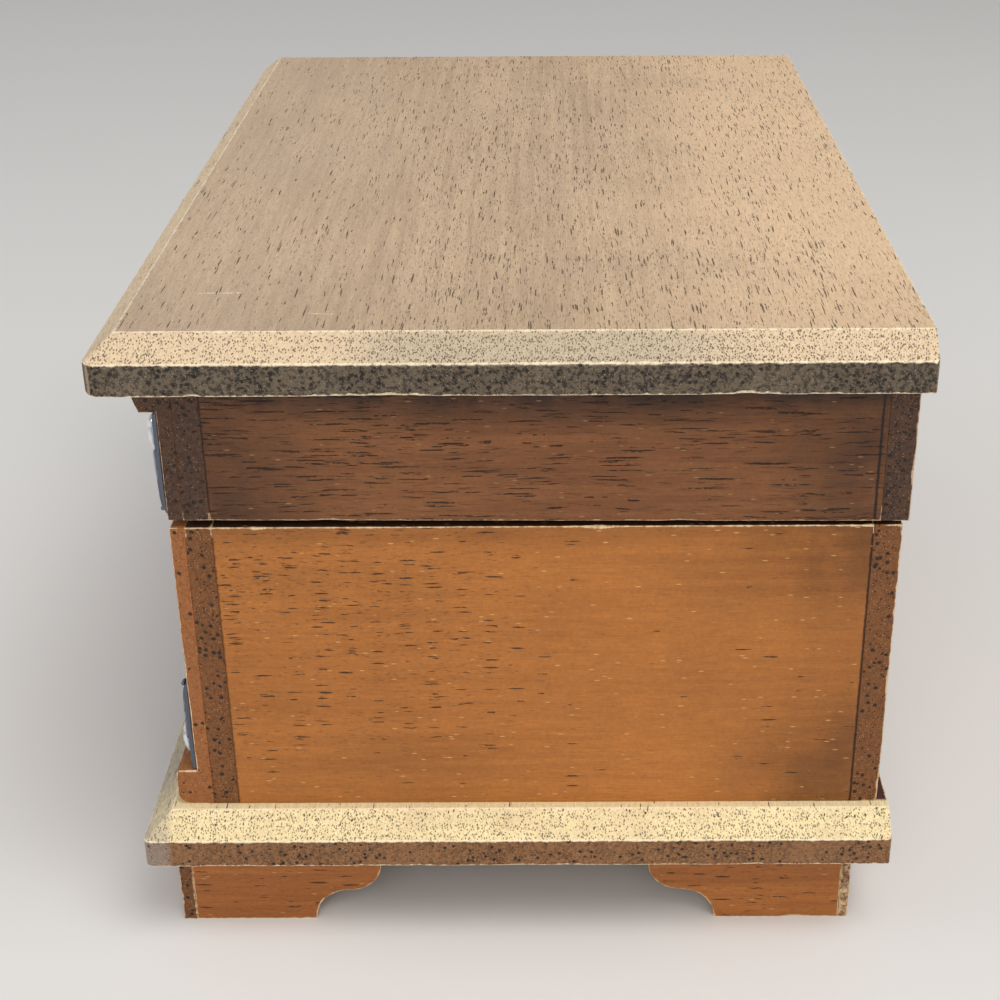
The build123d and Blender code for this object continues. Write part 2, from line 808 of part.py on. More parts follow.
# Frame of the governor: two plates joined by a foot and by a bridge over the worm
with BuildPart() as governor_frame:
    frame_x = (drum_axis_x - cheek_width / 2, worm_x + governor_reach)
    frame_z = (bed_top, shaft_z + governor_rise)
    block(frame_x, rear_cheek, frame_z)
    back_x = (idler_x - back_plate_reach, worm_x + governor_reach)
    block(back_x, back_plate, frame_z)
    foot_z = (bed_top, bed_top + governor_foot)
    block(back_x, (rear_cheek[0], back_plate[1]), foot_z)
    bridge_x = (worm_x - bridge_reach, worm_x + governor_reach)
    block(bridge_x, (rear_cheek[0], back_plate[1]), (bridge_low, bridge_low + bridge_thick))
    block(bridge_x, rear_cheek, (shaft_z, bridge_low + bridge_thick))
    block(bridge_x, back_plate, (shaft_z, bridge_low + bridge_thick))
    spindle(drum_axis_x, rear_cheek, shaft_z, spindle_radius + run_clear, Mode.SUBTRACT)
    for plate in (rear_cheek, back_plate):
        spindle(idler_x, plate, shaft_z, spindle_radius / 2 + run_clear, Mode.SUBTRACT)
    bearing = worm_core / 2 + run_clear
    post(worm_x, worm_y, (bridge_low, bridge_low + bridge_thick), bearing, Mode.SUBTRACT)
    post(worm_x, worm_y, (bed_top + bearing_floor, foot_z[1]), bearing, Mode.SUBTRACT)
save(governor_frame, "governor_frame")

# Fixing screws from under the base, with their heads sunk in it
with BuildPart() as movement_screws:
    for x, y in fixing_points:
        head = (foot_height + fixing_sink - fixing_head_height, foot_height + fixing_sink)
        post(x, y, head, fixing_head_radius)
        post(x, y, (head[1], bed_top), fixing_radius)
save(movement_screws, "movement_screws")


# Straight-sided teeth round a disc, one of them turned by start degrees from the sketch's X axis
def toothed_disc(teeth, root, tip, width, start):
    Circle(root)
    with PolarLocations((root + tip - tooth_bite) / 2, teeth, start_angle=start):
        Rectangle(tip - root + tooth_bite, width)


# Cylinder with its pins, hollow between two end discs
with BuildPart() as music_cylinder:
    spindle(drum_axis_x, (cylinder_y, cylinder_end), shaft_z, cylinder_radius)
    hollow_y = (cylinder_y + cylinder_wall, cylinder_end - cylinder_wall)
    spindle(drum_axis_x, hollow_y, shaft_z, cylinder_radius - cylinder_wall, Mode.SUBTRACT)
    ends = (cylinder_y, cylinder_end)
    spindle(drum_axis_x, ends, shaft_z, spindle_radius + run_clear / 2, Mode.SUBTRACT)
    note_pitch = (cylinder_length - 2 * pin_end_gap) / note_count
    pin_places = []
    for note in range(note_count):
        for turn in range(pins_per_note):
            scatter = (note * note * pin_scatter) % pin_spread
            angle = radians((note * pin_step + turn * 360 / pins_per_note + scatter) % 360)
            x = drum_axis_x + cylinder_radius * cos(angle)
            z = shaft_z + cylinder_radius * sin(angle)
            y = cylinder_y + pin_end_gap + note_pitch * (note + 0.5)
            pin_places.append(Location((x, y, z), (0, 90 - angle * 180 / pi, 0)))
    with Locations(*pin_places):
        Cylinder(pin_thick, 2 * pin_height)
save(music_cylinder, "music_cylinder")

# Arbor through the cylinder: pinion over the drum at one end, wheel at the other
with BuildPart() as cylinder_arbor:
    pinion_y = (drum_axis_y + crown_inner - pinion_side, drum_axis_y + crown_outer + pinion_side)
    spindle(drum_axis_x, (pinion_y[0] - arbor_stub, rear_cheek[1]), shaft_z, spindle_radius)
    with BuildSketch(Plane.XZ.offset(-pinion_y[1])):
        with Locations((drum_axis_x, shaft_z)):
            toothed_disc(pinion_teeth, pinion_root, pinion_tip, fine_tooth, 0)
    extrude(amount=pinion_y[1] - pinion_y[0])
    with BuildSketch(Plane.XZ.offset(-wheel_y[1])):
        with Locations((drum_axis_x, shaft_z)):
            half_tooth = 180 / wheel_teeth
            root = wheel_pitch - tooth_depth - root_clear
            toothed_disc(wheel_teeth, root, wheel_pitch + tooth_depth / 2, fine_tooth, half_tooth)
    extrude(amount=wheel_thick)
save(cylinder_arbor, "cylinder_arbor")

# Drum for the mainspring, with a crown of teeth on its top
with BuildPart() as spring_barrel:
    post(drum_axis_x, drum_axis_y, (drum_low, drum_top), drum_radius)
    drum_inside = drum_radius - drum_wall
    post(drum_axis_x, drum_axis_y, (drum_low, drum_top - drum_wall), drum_inside, Mode.SUBTRACT)
    post(drum_axis_x, drum_axis_y, (drum_low, drum_top), arbor_radius + run_clear, Mode.SUBTRACT)
    with BuildSketch(Plane.XY.offset(drum_top - weld)):
        with Locations((drum_axis_x, drum_axis_y)):
            middle = (crown_inner + crown_outer) / 2
            with PolarLocations(middle, crown_teeth, start_angle=180 / crown_teeth):
                Rectangle(crown_outer - crown_inner, fine_tooth)
    extrude(amount=crown_tooth + weld)
save(spring_barrel, "spring_barrel")

# Mainspring, as the ring that its coils fill inside the drum
with BuildPart() as mainspring:
    spring_z = (drum_low + spring_lift, drum_top - drum_wall - spring_drop)
    post(drum_axis_x, drum_axis_y, spring_z, drum_inside - spring_clear)
    post(drum_axis_x, drum_axis_y, spring_z, drum_inside / 2, Mode.SUBTRACT)
save(mainspring, "mainspring")

# Winding arbor, and the key on its lower end
key_low = key_floor_gap
key_hub_top = foot_height - key_top_gap
with BuildPart() as key_arbor:
    post(drum_axis_x, drum_axis_y, (key_low + key_wing_height, drum_top), arbor_radius)
save(key_arbor, "key_arbor")

with BuildPart() as winding_key:
    with BuildSketch(Plane.XZ.offset(-drum_axis_y - key_wing_thick / 2)):
        with Locations((drum_axis_x, key_low + key_wing_height / 2)):
            RectangleRounded(key_wing_length, key_wing_height, key_wing_round)
    extrude(amount=key_wing_thick)
    post(drum_axis_x, drum_axis_y, (key_low + key_hub_lift, key_hub_top), key_hub_radius)
    bore = (key_low + key_wing_height, key_hub_top)
    post(drum_axis_x, drum_axis_y, bore, arbor_radius + screw_clear, Mode.SUBTRACT)
    for side in (-1, 1):
        hole_x = drum_axis_x + side * (key_wing_length / 2 - key_wing_height / 2)
        hole_y = (drum_axis_y - key_wing_thick, drum_axis_y + key_wing_thick)
        spindle(hole_x, hole_y, key_low + key_wing_height / 2, key_hole_radius, Mode.SUBTRACT)
save(winding_key, "winding_key")

# Idler of the governor: pinion, arbor and the wheel that drives the worm
with BuildPart() as governor_wheel:
    spindle(idler_x, (wheel_y[0], back_plate[1]), shaft_z, spindle_radius / 2)
    with BuildSketch(Plane.XZ.offset(-wheel_y[1])):
        with Locations((idler_x, shaft_z)):
            root = idler_pitch - tooth_depth - root_clear
            toothed_disc(idler_teeth, root, idler_pitch + tooth_depth / 2, fine_tooth, 0)
    extrude(amount=wheel_thick)
    with BuildSketch(Plane.XZ.offset(-worm_wheel_y[1])):
        with Locations((idler_x, shaft_z)):
            root = worm_wheel_pitch - tooth_depth - root_clear
            toothed_disc(worm_wheel_teeth, root, worm_wheel_pitch + tooth_depth / 2, fine_tooth, 0)
    extrude(amount=worm_wheel_thick)
save(governor_wheel, "governor_wheel")

# Worm with the air brake on its upper end. Its even number of turns, centred on the wheel's axis,
# leaves the wheel's level tooth in the middle of a gap of the thread.
worm_lead = 2 * pi * worm_wheel_pitch / worm_wheel_teeth
thread_z = shaft_z - worm_lead * worm_turns / 2
with BuildPart() as governor_fan:
    post(worm_x, worm_y, (bed_top + worm_lift, fan_low + fan_seat), worm_core / 2)
    thread_top = thread_z + worm_lead * worm_turns
    post(worm_x, worm_y, (thread_z - worm_collar, thread_top + worm_collar), worm_core)
    with BuildLine():
        coil = Helix(worm_lead, worm_lead * worm_turns, worm_core - weld, center=(worm_x, worm_y, thread_z))
    with BuildSketch(Plane(origin=coil @ 0, x_dir=(1, 0, 0), z_dir=coil % 0)):
        with Locations((worm_depth / 2, 0)):
            Rectangle(worm_depth + weld, fine_tooth)
    sweep(is_frenet=True)
    post(worm_x, worm_y, (fan_low, fan_top), fan_hub)
    with BuildSketch(Plane.XY.offset(fan_low)):
        with Locations((worm_x, worm_y)):
            with PolarLocations(fan_radius / 2, fan_blades, start_angle=45):
                Rectangle(fan_radius, blade_thick)
    extrude(amount=fan_height)
save(governor_fan, "governor_fan")

# Comb: a root plate with long tines that reach to just short of the pins
with BuildPart() as music_comb:
    root_x = (comb_root_x, bed_x[1])
    block(root_x, (cylinder_y, cylinder_end), (shaft_z - comb_thick / 2, comb_top))
    tine_low = shaft_z - comb_tooth_thick / 2
    tine_width = note_pitch * comb_tooth_share
    for note in range(note_count):
        y = cylinder_y + pin_end_gap + note_pitch * (note + 0.5)
        tine_y = (y - tine_width / 2, y + tine_width / 2)
        block((comb_x, comb_root_x), tine_y, (tine_low, tine_low + comb_tooth_thick))
    comb_screw_set(run_clear, Mode.SUBTRACT)
save(music_comb, "music_comb")

with BuildPart() as comb_screws:
    comb_screw_set()
    for y in comb_screw_y:
        head_top = comb_top + comb_screw_head_height
        post(comb_screw_x, y, (comb_top, head_top), comb_screw_head)
        slot_x = (comb_screw_x - comb_screw_head, comb_screw_x + comb_screw_head)
        slot_y = (y - comb_slot_half, y + comb_slot_half)
        block(slot_x, slot_y, (head_top - comb_screw_slot, head_top), Mode.SUBTRACT)
save(comb_screws, "comb_screws")

# Clear cover on two ledges over the movement
cover_low = base_top + cover_lift
cover_top = cover_low + cover_thick
with BuildPart() as cover_ledges:
    ledge_z = (cover_low - ledge_height, cover_low)
    block((-room_end, cross_left), (music_front, music_front + ledge_front), ledge_z)
    block((-room_end, cross_left), (room_back - ledge_back, room_back), ledge_z)
save(cover_ledges, "cover_ledges")

guide_radius = rod_radius + run_clear + guide_wall
guide_top = seam - guide_seam_gap
with BuildPart() as music_cover:
    cover_x = (-room_end + seat_clear, cross_left - seat_clear)
    cover_y = (music_front + seat_clear, room_back - seat_clear)
    block(cover_x, cover_y, (cover_low, cover_top))
    post(worm_x, worm_y, (cover_low, cover_top), guide_radius + screw_clear, Mode.SUBTRACT)
save(music_cover, "music_cover")

# Guide tube for the start rod, with a flange on the cover
with BuildPart() as rod_guide:
    post(worm_x, worm_y, (cover_low, guide_top), guide_radius)
    post(worm_x, worm_y, (cover_top, cover_top + guide_flange_thick), guide_flange)
    post(worm_x, worm_y, (cover_low, guide_top), rod_radius + run_clear, Mode.SUBTRACT)
save(rod_guide, "rod_guide")

# Start rod: its disc rests on the air brake while the lid holds it down
rod_low = fan_top + brake_gap
rod_top = seam + rod_radius
with BuildPart() as start_rod:
    post(worm_x, worm_y, (rod_low, rod_low + rod_disc_thick), rod_disc_radius)
    post(worm_x, worm_y, (rod_low, rod_top), rod_radius)
    fillet(start_rod.faces().sort_by(Axis.Z)[-1].edges(), rod_round)
save(start_rod, "start_rod")

# Block inside the lid that presses the rod down
with BuildPart() as start_block:
    block_low = rod_top + brake_gap
    block_x = (worm_x - start_block_length / 2, worm_x + start_block_length / 2)
    block_y = (lid_room_back - start_block_reach, lid_room_back)
    block(block_x, block_y, (block_low, block_low + start_block_height))
save(start_block, "start_block")
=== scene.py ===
import math

import bmesh
import bpy
from mathutils import Matrix, Vector, geometry, noise
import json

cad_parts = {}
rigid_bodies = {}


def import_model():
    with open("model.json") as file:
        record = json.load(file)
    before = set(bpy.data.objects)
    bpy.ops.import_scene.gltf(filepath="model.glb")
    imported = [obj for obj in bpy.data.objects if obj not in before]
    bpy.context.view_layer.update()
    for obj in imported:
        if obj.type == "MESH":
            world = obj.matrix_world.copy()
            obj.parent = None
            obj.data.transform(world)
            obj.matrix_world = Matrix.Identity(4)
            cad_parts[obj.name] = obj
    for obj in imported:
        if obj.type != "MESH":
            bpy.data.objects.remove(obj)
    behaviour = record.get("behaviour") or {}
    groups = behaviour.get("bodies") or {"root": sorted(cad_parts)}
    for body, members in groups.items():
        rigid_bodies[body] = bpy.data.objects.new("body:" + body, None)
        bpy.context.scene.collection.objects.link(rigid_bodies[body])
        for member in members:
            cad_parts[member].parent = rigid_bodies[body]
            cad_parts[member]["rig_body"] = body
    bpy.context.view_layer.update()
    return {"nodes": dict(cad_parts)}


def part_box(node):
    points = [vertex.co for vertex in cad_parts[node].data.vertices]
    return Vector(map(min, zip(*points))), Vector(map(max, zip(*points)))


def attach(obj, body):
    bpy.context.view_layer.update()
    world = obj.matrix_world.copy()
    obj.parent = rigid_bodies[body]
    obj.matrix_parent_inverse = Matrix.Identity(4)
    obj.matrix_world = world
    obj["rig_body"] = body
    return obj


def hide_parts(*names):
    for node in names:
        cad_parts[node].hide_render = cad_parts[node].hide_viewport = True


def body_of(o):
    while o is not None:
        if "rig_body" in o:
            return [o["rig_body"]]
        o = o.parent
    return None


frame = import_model()
mm = 0.001

shot = {
    "place": (0.39667, 0.00763, 0.24387),
    "pitch": 26.65,
    "yaw": -0.18,
    "roll": -0.34,
    "lens": 63.2,
    "shift": -0.0487,
}


def makeCamera():
    pitch, yaw, roll = (math.radians(shot[key]) for key in ("pitch", "yaw", "roll"))
    forward = Vector((-math.cos(pitch) * math.cos(yaw), math.cos(pitch) * math.sin(yaw), -math.sin(pitch)))
    level = forward.cross(Vector((0, 0, 1))).normalized()
    above = level.cross(forward)
    right = math.cos(roll) * level + math.sin(roll) * above
    up = math.cos(roll) * above - math.sin(roll) * level
    data = bpy.data.cameras.new("photoCamera")
    data.lens = shot["lens"]
    data.sensor_width = 36
    data.shift_x = shot["shift"]
    data.clip_start = 0.01
    camera = bpy.data.objects.new("photoCamera", data)
    turn = Matrix((right, up, -forward)).transposed().to_4x4()
    camera.matrix_world = Matrix.Translation(shot["place"]) @ turn
    bpy.context.scene.collection.objects.link(camera)
    bpy.context.scene.camera = camera


studio = {
    "floorSize": 6.0,
    "floorTone": (0.80, 0.79, 0.77, 1),
    "ambient": 0.42,
    "backdrop": (0.90, 0.91, 0.93, 1),
    # place, aim, size and watts of each lamp, and its colour
    "lamps": {
        "keyLamp": ((0.55, 0.45, 1.30), (0, 0, 0.08), 0.9, 11.0, (1.0, 0.97, 0.93)),
        "frontLamp": ((1.60, -0.10, 0.75), (0, 0, 0.06), 1.2, 11.0, (1.0, 0.98, 0.95)),
        "windowLamp": ((0.10, -1.50, 0.60), (0, 0, 0.06), 0.7, 4.5, (0.80, 0.89, 1.0)),
    },
}


def link(obj):
    bpy.context.scene.collection.objects.link(obj)
    return obj


def meshObject(name, mesh, material=None):
    data = bpy.data.meshes.new(name)
    mesh.to_mesh(data)
    mesh.free()
    if material:
        data.materials.append(material)
    return link(bpy.data.objects.new(name, data))


def makeStudio():
    half = studio["floorSize"] / 2
    mesh = bmesh.new()
    corners = [
        mesh.verts.new((x, y, 0)) for x, y in ((-half, -half), (half, -half), (half, half), (-half, half))
    ]
    mesh.faces.new(corners)
    floor = meshObject("studioFloor", mesh, floorMaterial())
    for name, (place, aim, size, watts, colour) in studio["lamps"].items():
        data = bpy.data.lights.new(name, "AREA")
        data.size = size
        data.energy = watts
        data.color = colour
        lamp = bpy.data.objects.new(name, data)
        lamp.matrix_world = Matrix.Translation(place) @ (Vector(aim) - Vector(place)).to_track_quat("-Z",
            "Y").to_matrix().to_4x4()
        link(lamp)
    world = bpy.data.worlds.new("studioWorld")
    bpy.context.scene.world = world
    world.use_nodes = True
    tree = world.node_tree
    tree.nodes.clear()
    out = tree.nodes.new("ShaderNodeOutputWorld")
    blend = tree.nodes.new("ShaderNodeMixShader")
    path = tree.nodes.new("ShaderNodeLightPath")
    soft = tree.nodes.new("ShaderNodeBackground")
    soft.inputs["Strength"].default_value = studio["ambient"]
    seen = tree.nodes.new("ShaderNodeBackground")
    seen.inputs["Color"].default_value = studio["backdrop"]
    tree.links.new(path.outputs["Is Camera Ray"], blend.inputs[0])
    tree.links.new(soft.outputs[0], blend.inputs[1])
    tree.links.new(seen.outputs[0], blend.inputs[2])
    tree.links.new(blend.outputs[0], out.inputs[0])
    bpy.context.scene.view_settings.view_transform = "Standard"


class Brush:
    def __init__(self, name):
        self.material = bpy.data.materials.new(name)
        self.material.use_nodes = True
        self.tree = self.material.node_tree
        self.tree.nodes.clear()
        self.out = self.node("ShaderNodeOutputMaterial")
        self.shader = self.node("ShaderNodeBsdfPrincipled")
        self.tree.links.new(self.shader.outputs[0], self.out.inputs[0])
        self.coord = self.node("ShaderNodeTexCoord")
        self.place = self.stretch(self.coord.outputs["Object"], (1000, 1000, 1000))  # in millimetres

    def node(self, kind, **settings):
        made = self.tree.nodes.new(kind)
        for key, value in settings.items():
            setattr(made, key, value)
        return made

    def feed(self, socket, value):
        if isinstance(value, bpy.types.NodeSocket):
            self.tree.links.new(value, socket)
        else:
            socket.default_value = value

    def calc(self, operation, *values):
        made = self.node("ShaderNodeMath", operation=operation)
        for socket, value in zip(made.inputs, values):
            self.feed(socket, value)
        return made.outputs[0]

    def times(self, *values):
        return self.calc("MULTIPLY", *values)

    def plus(self, *values):
        return self.calc("ADD", *values)

    def minus(self, *values):
        return self.calc("SUBTRACT", *values)

    def most(self, *values):
        return self.calc("MAXIMUM", *values)

    def size(self, *values):
        return self.calc("ABSOLUTE", *values)

    def stretch(self, vector, factors):
        made = self.node("ShaderNodeVectorMath", operation="MULTIPLY")
        self.feed(made.inputs[0], vector)
        made.inputs[1].default_value = factors
        return made.outputs[0]

    def offset(self, vector, amount):
        made = self.node("ShaderNodeVectorMath", operation="ADD")
        self.feed(made.inputs[0], vector)
        self.feed(made.inputs[1], amount)
        return made.outputs[0]

    def split(self, vector):
        made = self.node("ShaderNodeSeparateXYZ")
        self.feed(made.inputs[0], vector)
        return made.outputs[0], made.outputs[1], made.outputs[2]

    def clouds(self, vector, size, detail=3.0, rough=0.5, twist=0.0):
        made = self.node("ShaderNodeTexNoise")
        self.feed(made.inputs["Vector"], vector)
        made.inputs["Scale"].default_value = 1 / size
        made.inputs["Detail"].default_value = detail
        made.inputs["Roughness"].default_value = rough
        made.inputs["Distortion"].default_value = twist
        return made.outputs["Fac"]

    def spots(self, vector, size, spread=1.0):
        made = self.node("ShaderNodeTexVoronoi")
        self.feed(made.inputs["Vector"], vector)
        made.inputs["Scale"].default_value = 1 / size
        made.inputs["Randomness"].default_value = spread
        return made.outputs["Distance"], self.split(made.outputs["Color"])

    def fade(self, value, low, high, start=0.0, end=1.0):
        made = self.node("ShaderNodeMapRange", interpolation_type="SMOOTHSTEP")
        for key, number in zip((0, 1, 2, 3, 4), (value, low, high, start, end)):
            self.feed(made.inputs[key], number)
        return made.outputs[0]

    def mix(self, first, second, amount):
        made = self.node("ShaderNodeMix", data_type="RGBA")
        self.feed(made.inputs[0], amount)
        self.feed(made.inputs[6], first if isinstance(first, bpy.types.NodeSocket) else (*first, 1))
        self.feed(made.inputs[7], second if isinstance(second, bpy.types.NodeSocket) else (*second, 1))
        return made.outputs[2]

    def shadeBy(self, colour, amount):
        made = self.node("ShaderNodeMix", data_type="RGBA", blend_type="MULTIPLY")
        made.inputs[0].default_value = 1
        self.feed(made.inputs[6], colour)
        grey = self.node("ShaderNodeCombineColor")
        for socket in grey.inputs[:3]:
            self.feed(socket, amount)
        self.tree.links.new(grey.outputs[0], made.inputs[7])
        return made.outputs[2]

    def attribute(self, name):
        return self.node("ShaderNodeAttribute", attribute_name=name).outputs["Fac"]

    def bump(self, height, depth, under=None):
        made = self.node("ShaderNodeBump")
        made.inputs["Strength"].default_value = 1
        made.inputs["Distance"].default_value = depth
        self.feed(made.inputs["Height"], height)
        if under:
            self.feed(made.inputs["Normal"], under)
        return made.outputs[0]

    def finish(self, **values):
        names = {"colour": "Base Color", "rough": "Roughness", "normal": "Normal", "metal": "Metallic"}
        for key, value in values.items():
            self.feed(self.shader.inputs[names.get(key, key)], value)
        return self.material


def floorMaterial():
    b = Brush("studioFloorPaint")
    tone = b.clouds(b.place, 400, 2)
    colour = b.mix(studio["floorTone"][:3], (0.84, 0.83, 0.82), tone)
    return b.finish(colour=colour, rough=0.9)


woodLooks = {
    # Long-grained boards: the lid's top and the base
    "lidBoard": {
        "grain": 0, "light": (0.66, 0.48, 0.315), "dark": (0.50, 0.355, 0.232), "end": (
            0.125, 0.095, 0.062
        ),
        "side": (0.13, 0.095, 0.062), "bevel": (0.80, 0.61, 0.40), "pore": (0.13, 0.085, 0.055),
        "poreSize": (9.0, 0.42), "poreShare": 0.5, "dotShare": 0.9, "mottle": 1.0, "speck": 0.85,
        "fleck": (0.42, 0.35, 0.24), "worn": (0.92, 0.78, 0.55), "rough": 0.6,
    },
    "baseBoard": {
        "grain": 0, "light": (0.40, 0.235, 0.115), "dark": (0.26, 0.14, 0.065), "end": (
            0.265, 0.120, 0.046
        ),
        "side": (0.25, 0.15, 0.075), "mottle": 0.45, "bevel": (0.88, 0.72, 0.41),
        "pore": (0.035, 0.02, 0.013), "poreSize": (5.0, 0.5), "poreShare": 0.3, "dotShare": 1.15,
        "speck": 0.75, "fleck": (0.55, 0.38, 0.2), "worn": (0.92, 0.80, 0.56), "rough": 0.6,
    },
    # Walls
    # The lid's end walls: the body's wood, painted darker as shade under the lid's overhang
    "lidPanel": {
        "grain": 1, "light": (0.225, 0.086, 0.027), "dark": (0.155, 0.055, 0.017),
        "end": (0.09, 0.036, 0.016), "bevel": (0.2, 0.075, 0.024), "pore": (0.010, 0.005, 0.003),
        "poreSize": (15.0, 0.46), "poreShare": 0.85, "dotShare": 0.4, "speck": 0.3,
        "fleck": (0.42, 0.25, 0.12), "worn": (0.66, 0.46, 0.27), "rough": 0.5,
    },
    "bodyPanel": {
        "grain": 1, "light": (0.395, 0.142, 0.028), "dark": (0.325, 0.113, 0.021),
        "end": (0.17, 0.065, 0.02), "bevel": (0.36, 0.13, 0.03), "pore": (0.03, 0.013, 0.006),
        "poreSize": (5.5, 0.5), "poreShare": 0.4, "dotShare": 0.4, "speck": 0.3, "fleck": (
            0.78, 0.50, 0.20
        ),
        "worn": (0.80, 0.60, 0.36), "rough": 0.46,
    },
    "caseBoard": {
        "grain": 0, "light": (0.35, 0.125, 0.028), "dark": (0.26, 0.09, 0.02), "end": (0.20, 0.072, 0.018),
        "bevel": (0.34, 0.13, 0.035), "pore": (0.012, 0.007, 0.005), "poreSize": (6.0, 0.55),
        "poreShare": 0.3, "mottle": 0.3, "dotShare": 1.0, "speck": 0.35, "fleck": (0.55, 0.36, 0.18),
        "worn": (0.72, 0.52, 0.30), "rough": 0.5,
    },
    "lidBoardEnd": {
        "grain": 0, "light": (0.21, 0.082, 0.028), "dark": (0.14, 0.052, 0.018), "end": (
            0.08, 0.035, 0.018
        ),
        "bevel": (0.19, 0.075, 0.026), "pore": (0.012, 0.007, 0.005), "poreSize": (9.0, 0.55),
        "poreShare": 0.45, "mottle": 0.5, "dotShare": 0.9, "speck": 0.35, "fleck": (0.42, 0.27, 0.14),
        "worn": (0.62, 0.43, 0.25), "rough": 0.5,
    },
    "overlayBoard": {
        "grain": 0, "light": (0.38, 0.14, 0.036), "dark": (0.29, 0.10, 0.026), "end": (0.32, 0.112, 0.030),
        "bevel": (0.36, 0.14, 0.04), "pore": (0.03, 0.015, 0.008), "poreSize": (5.0, 0.5), "poreShare": 0.3,
        "dotShare": 0.15, "speck": 0.2, "fleck": (0.6, 0.4, 0.2), "worn": (0.78, 0.58, 0.36), "rough": 0.48,
    },
    "footBoard": {
        "grain": 1, "light": (0.40, 0.138, 0.028), "dark": (0.27, 0.088, 0.018), "end": (0.16, 0.06, 0.02),
        "bevel": (0.62, 0.40, 0.2), "pore": (0.05, 0.022, 0.01), "poreSize": (6.0, 0.5), "poreShare": 0.3,
        "dotShare": 0.6, "speck": 0.3, "fleck": (0.62, 0.42, 0.2), "worn": (0.78, 0.58, 0.34), "rough": 0.5,
    },
    "innerWood": {
        "grain": 0, "light": (0.52, 0.35, 0.19), "dark": (0.40, 0.25, 0.13), "end": (0.35, 0.22, 0.12),
        "bevel": (0.5, 0.34, 0.19), "pore": (0.16, 0.09, 0.05), "poreSize": (5.0, 0.5), "poreShare": 0.3,
        "dotShare": 0.3, "speck": 0.2, "fleck": (0.6, 0.44, 0.26), "worn": (0.6, 0.44, 0.27), "rough": 0.7,
    },
}


def nearTo(b, first, second, spot, reach):
    # 1 at a spot given by two coordinates, and 0 at the reach from it
    gaps = [b.minus(value, middle) for value, middle in zip((first, second), spot)]
    squares = [b.times(gap, gap) for gap in gaps]
    return b.fade(b.calc("SQRT", b.plus(*squares)), reach, reach * 0.15)


def lidMarksAndPaintedLight(b, colour, share):
    # The greyer left side, the brighter right side that is painted light, and the scratches on the top
    x, y, z = b.split(b.place)
    drift = b.plus(y, b.times(b.minus(b.clouds(b.place, 55, 3, 0.55), 0.5), 70)
    )
    onTop = b.fade(z, 132.1, 132.35)
    colour = b.mix(colour, (0.56, 0.425, 0.32), b.times(b.fade(drift, 0, -60, 0, 0.42), onTop))
    # Painted light: the right side of the top made paler, as if lit more brightly
    colour = b.mix(colour, (0.84, 0.60, 0.38), b.times(b.fade(drift, 5, 58, 0, 0.8), onTop))
    colour = b.shadeBy(colour, b.fade(x, 60, 112, 1, 0.9))
    onBevel = b.times(b.fade(x, 107, 109), b.fade(z, 127.5, 128.2))
    grey = b.times(b.fade(b.size(b.minus(drift, 8)), 46, 20, 0, 0.7), onBevel
    )
    colour = b.mix(colour, (0.44, 0.375, 0.27), grey)
    rough = b.clouds(b.place, 0.5, 3, 0.7)
    for place, half, angle in (
        ((88.3, -54.0), (0.35, 4.4), 0), ((99.5, -33.9), (0.22, 2.9), 0.1), ((-20, 68), (0.4, 2.6), 0.5)
    ):
        across = b.minus(x, place[0])
        along = b.minus(y, place[1])
        across = b.minus(across, b.times(along, angle))
        mark = b.times(b.fade(b.size(across), half[0], half[0] * 0.3),
            b.fade(b.size(along), half[1], half[1] * 0.8)
        )
        mark = b.times(b.times(mark, onTop), b.fade(rough, 0.42, 0.55))
        colour = b.mix(colour, (0.95, 0.82, 0.62), mark)
    return colour, b.times(share, b.fade(drift, -60, 25, 0.45, 1.25))


def baseColourAndFrontShade(b, colour, share):
    x, y, z = b.split(b.place)
    outside = b.most(b.fade(b.size(x), 105.2, 106.2), b.fade(y, -61, -62))
    top = b.mix((0.05, 0.010, 0.014), (0.84, 0.69, 0.40), outside)
    colour = b.mix(colour, top, b.fade(z, 29.3, 29.45, 0, 0.94))
    # Painted shade: the front face greyed, as the side turned away from the light
    front = b.fade(y, -69, -71)
    return b.mix(colour, (0.30, 0.27, 0.245),
        b.times(front, b.fade(b.clouds(b.place, 20, 3), 0.3, 0.6, 0.35, 0.75))), share


def panelShadeAndJoints(b, colour, share):
    # Darker towards the back corners and the top, painted shade where the panel meets the lid and the base;
    # dark joints at both ends, and pores mostly at the upper left
    _, y, z = b.split(b.place)
    cloud = b.clouds(b.place, 9, 4, 0.6)
    # Painted shade in the back corners and along the top, under the lid
    dark = b.most(nearTo(b, y, z, (70, 94), 40), nearTo(b, y, z, (68, 34), 34))
    dark = b.most(dark, b.fade(y, 40, 72, 0, 0.35))
    dark = b.most(dark, b.fade(z, 87, 92, 0, 0.4))
    dark = b.times(dark, b.fade(cloud, 0.2, 0.65, 0.55, 1.1))
    colour = b.shadeBy(colour, b.minus(1, b.times(dark, 0.52)))
    colour = b.shadeBy(colour, b.fade(b.clouds(b.place, 30, 3), 0.3, 0.7, 0.92, 1.1))
    upper = nearTo(b, y, z, (-40, 84), 62)
    return jointLines(b, colour, y), b.plus(b.times(share, b.times(upper, 1.3)), 0.03
    )


def rimShadeAndJoints(b, colour, share):
    # A dark band under the lid's overhang, which is painted shadow, and both ends darker
    _, y, z = b.split(b.place)
    cloud = b.clouds(b.place, 12, 4, 0.6)
    # Painted shadow: the band under the lid's overhang
    dark = b.most(b.fade(z, 110, 120.5, 0, 0.82), b.fade(y, -25, -60, 0, 0.62))
    dark = b.most(dark, b.fade(y, 38, 68, 0, 0.5))
    dark = b.times(dark, b.fade(cloud, 0.25, 0.65, 0.6, 1.15))
    return jointLines(b, b.shadeBy(colour, b.minus(1, dark)), y), share


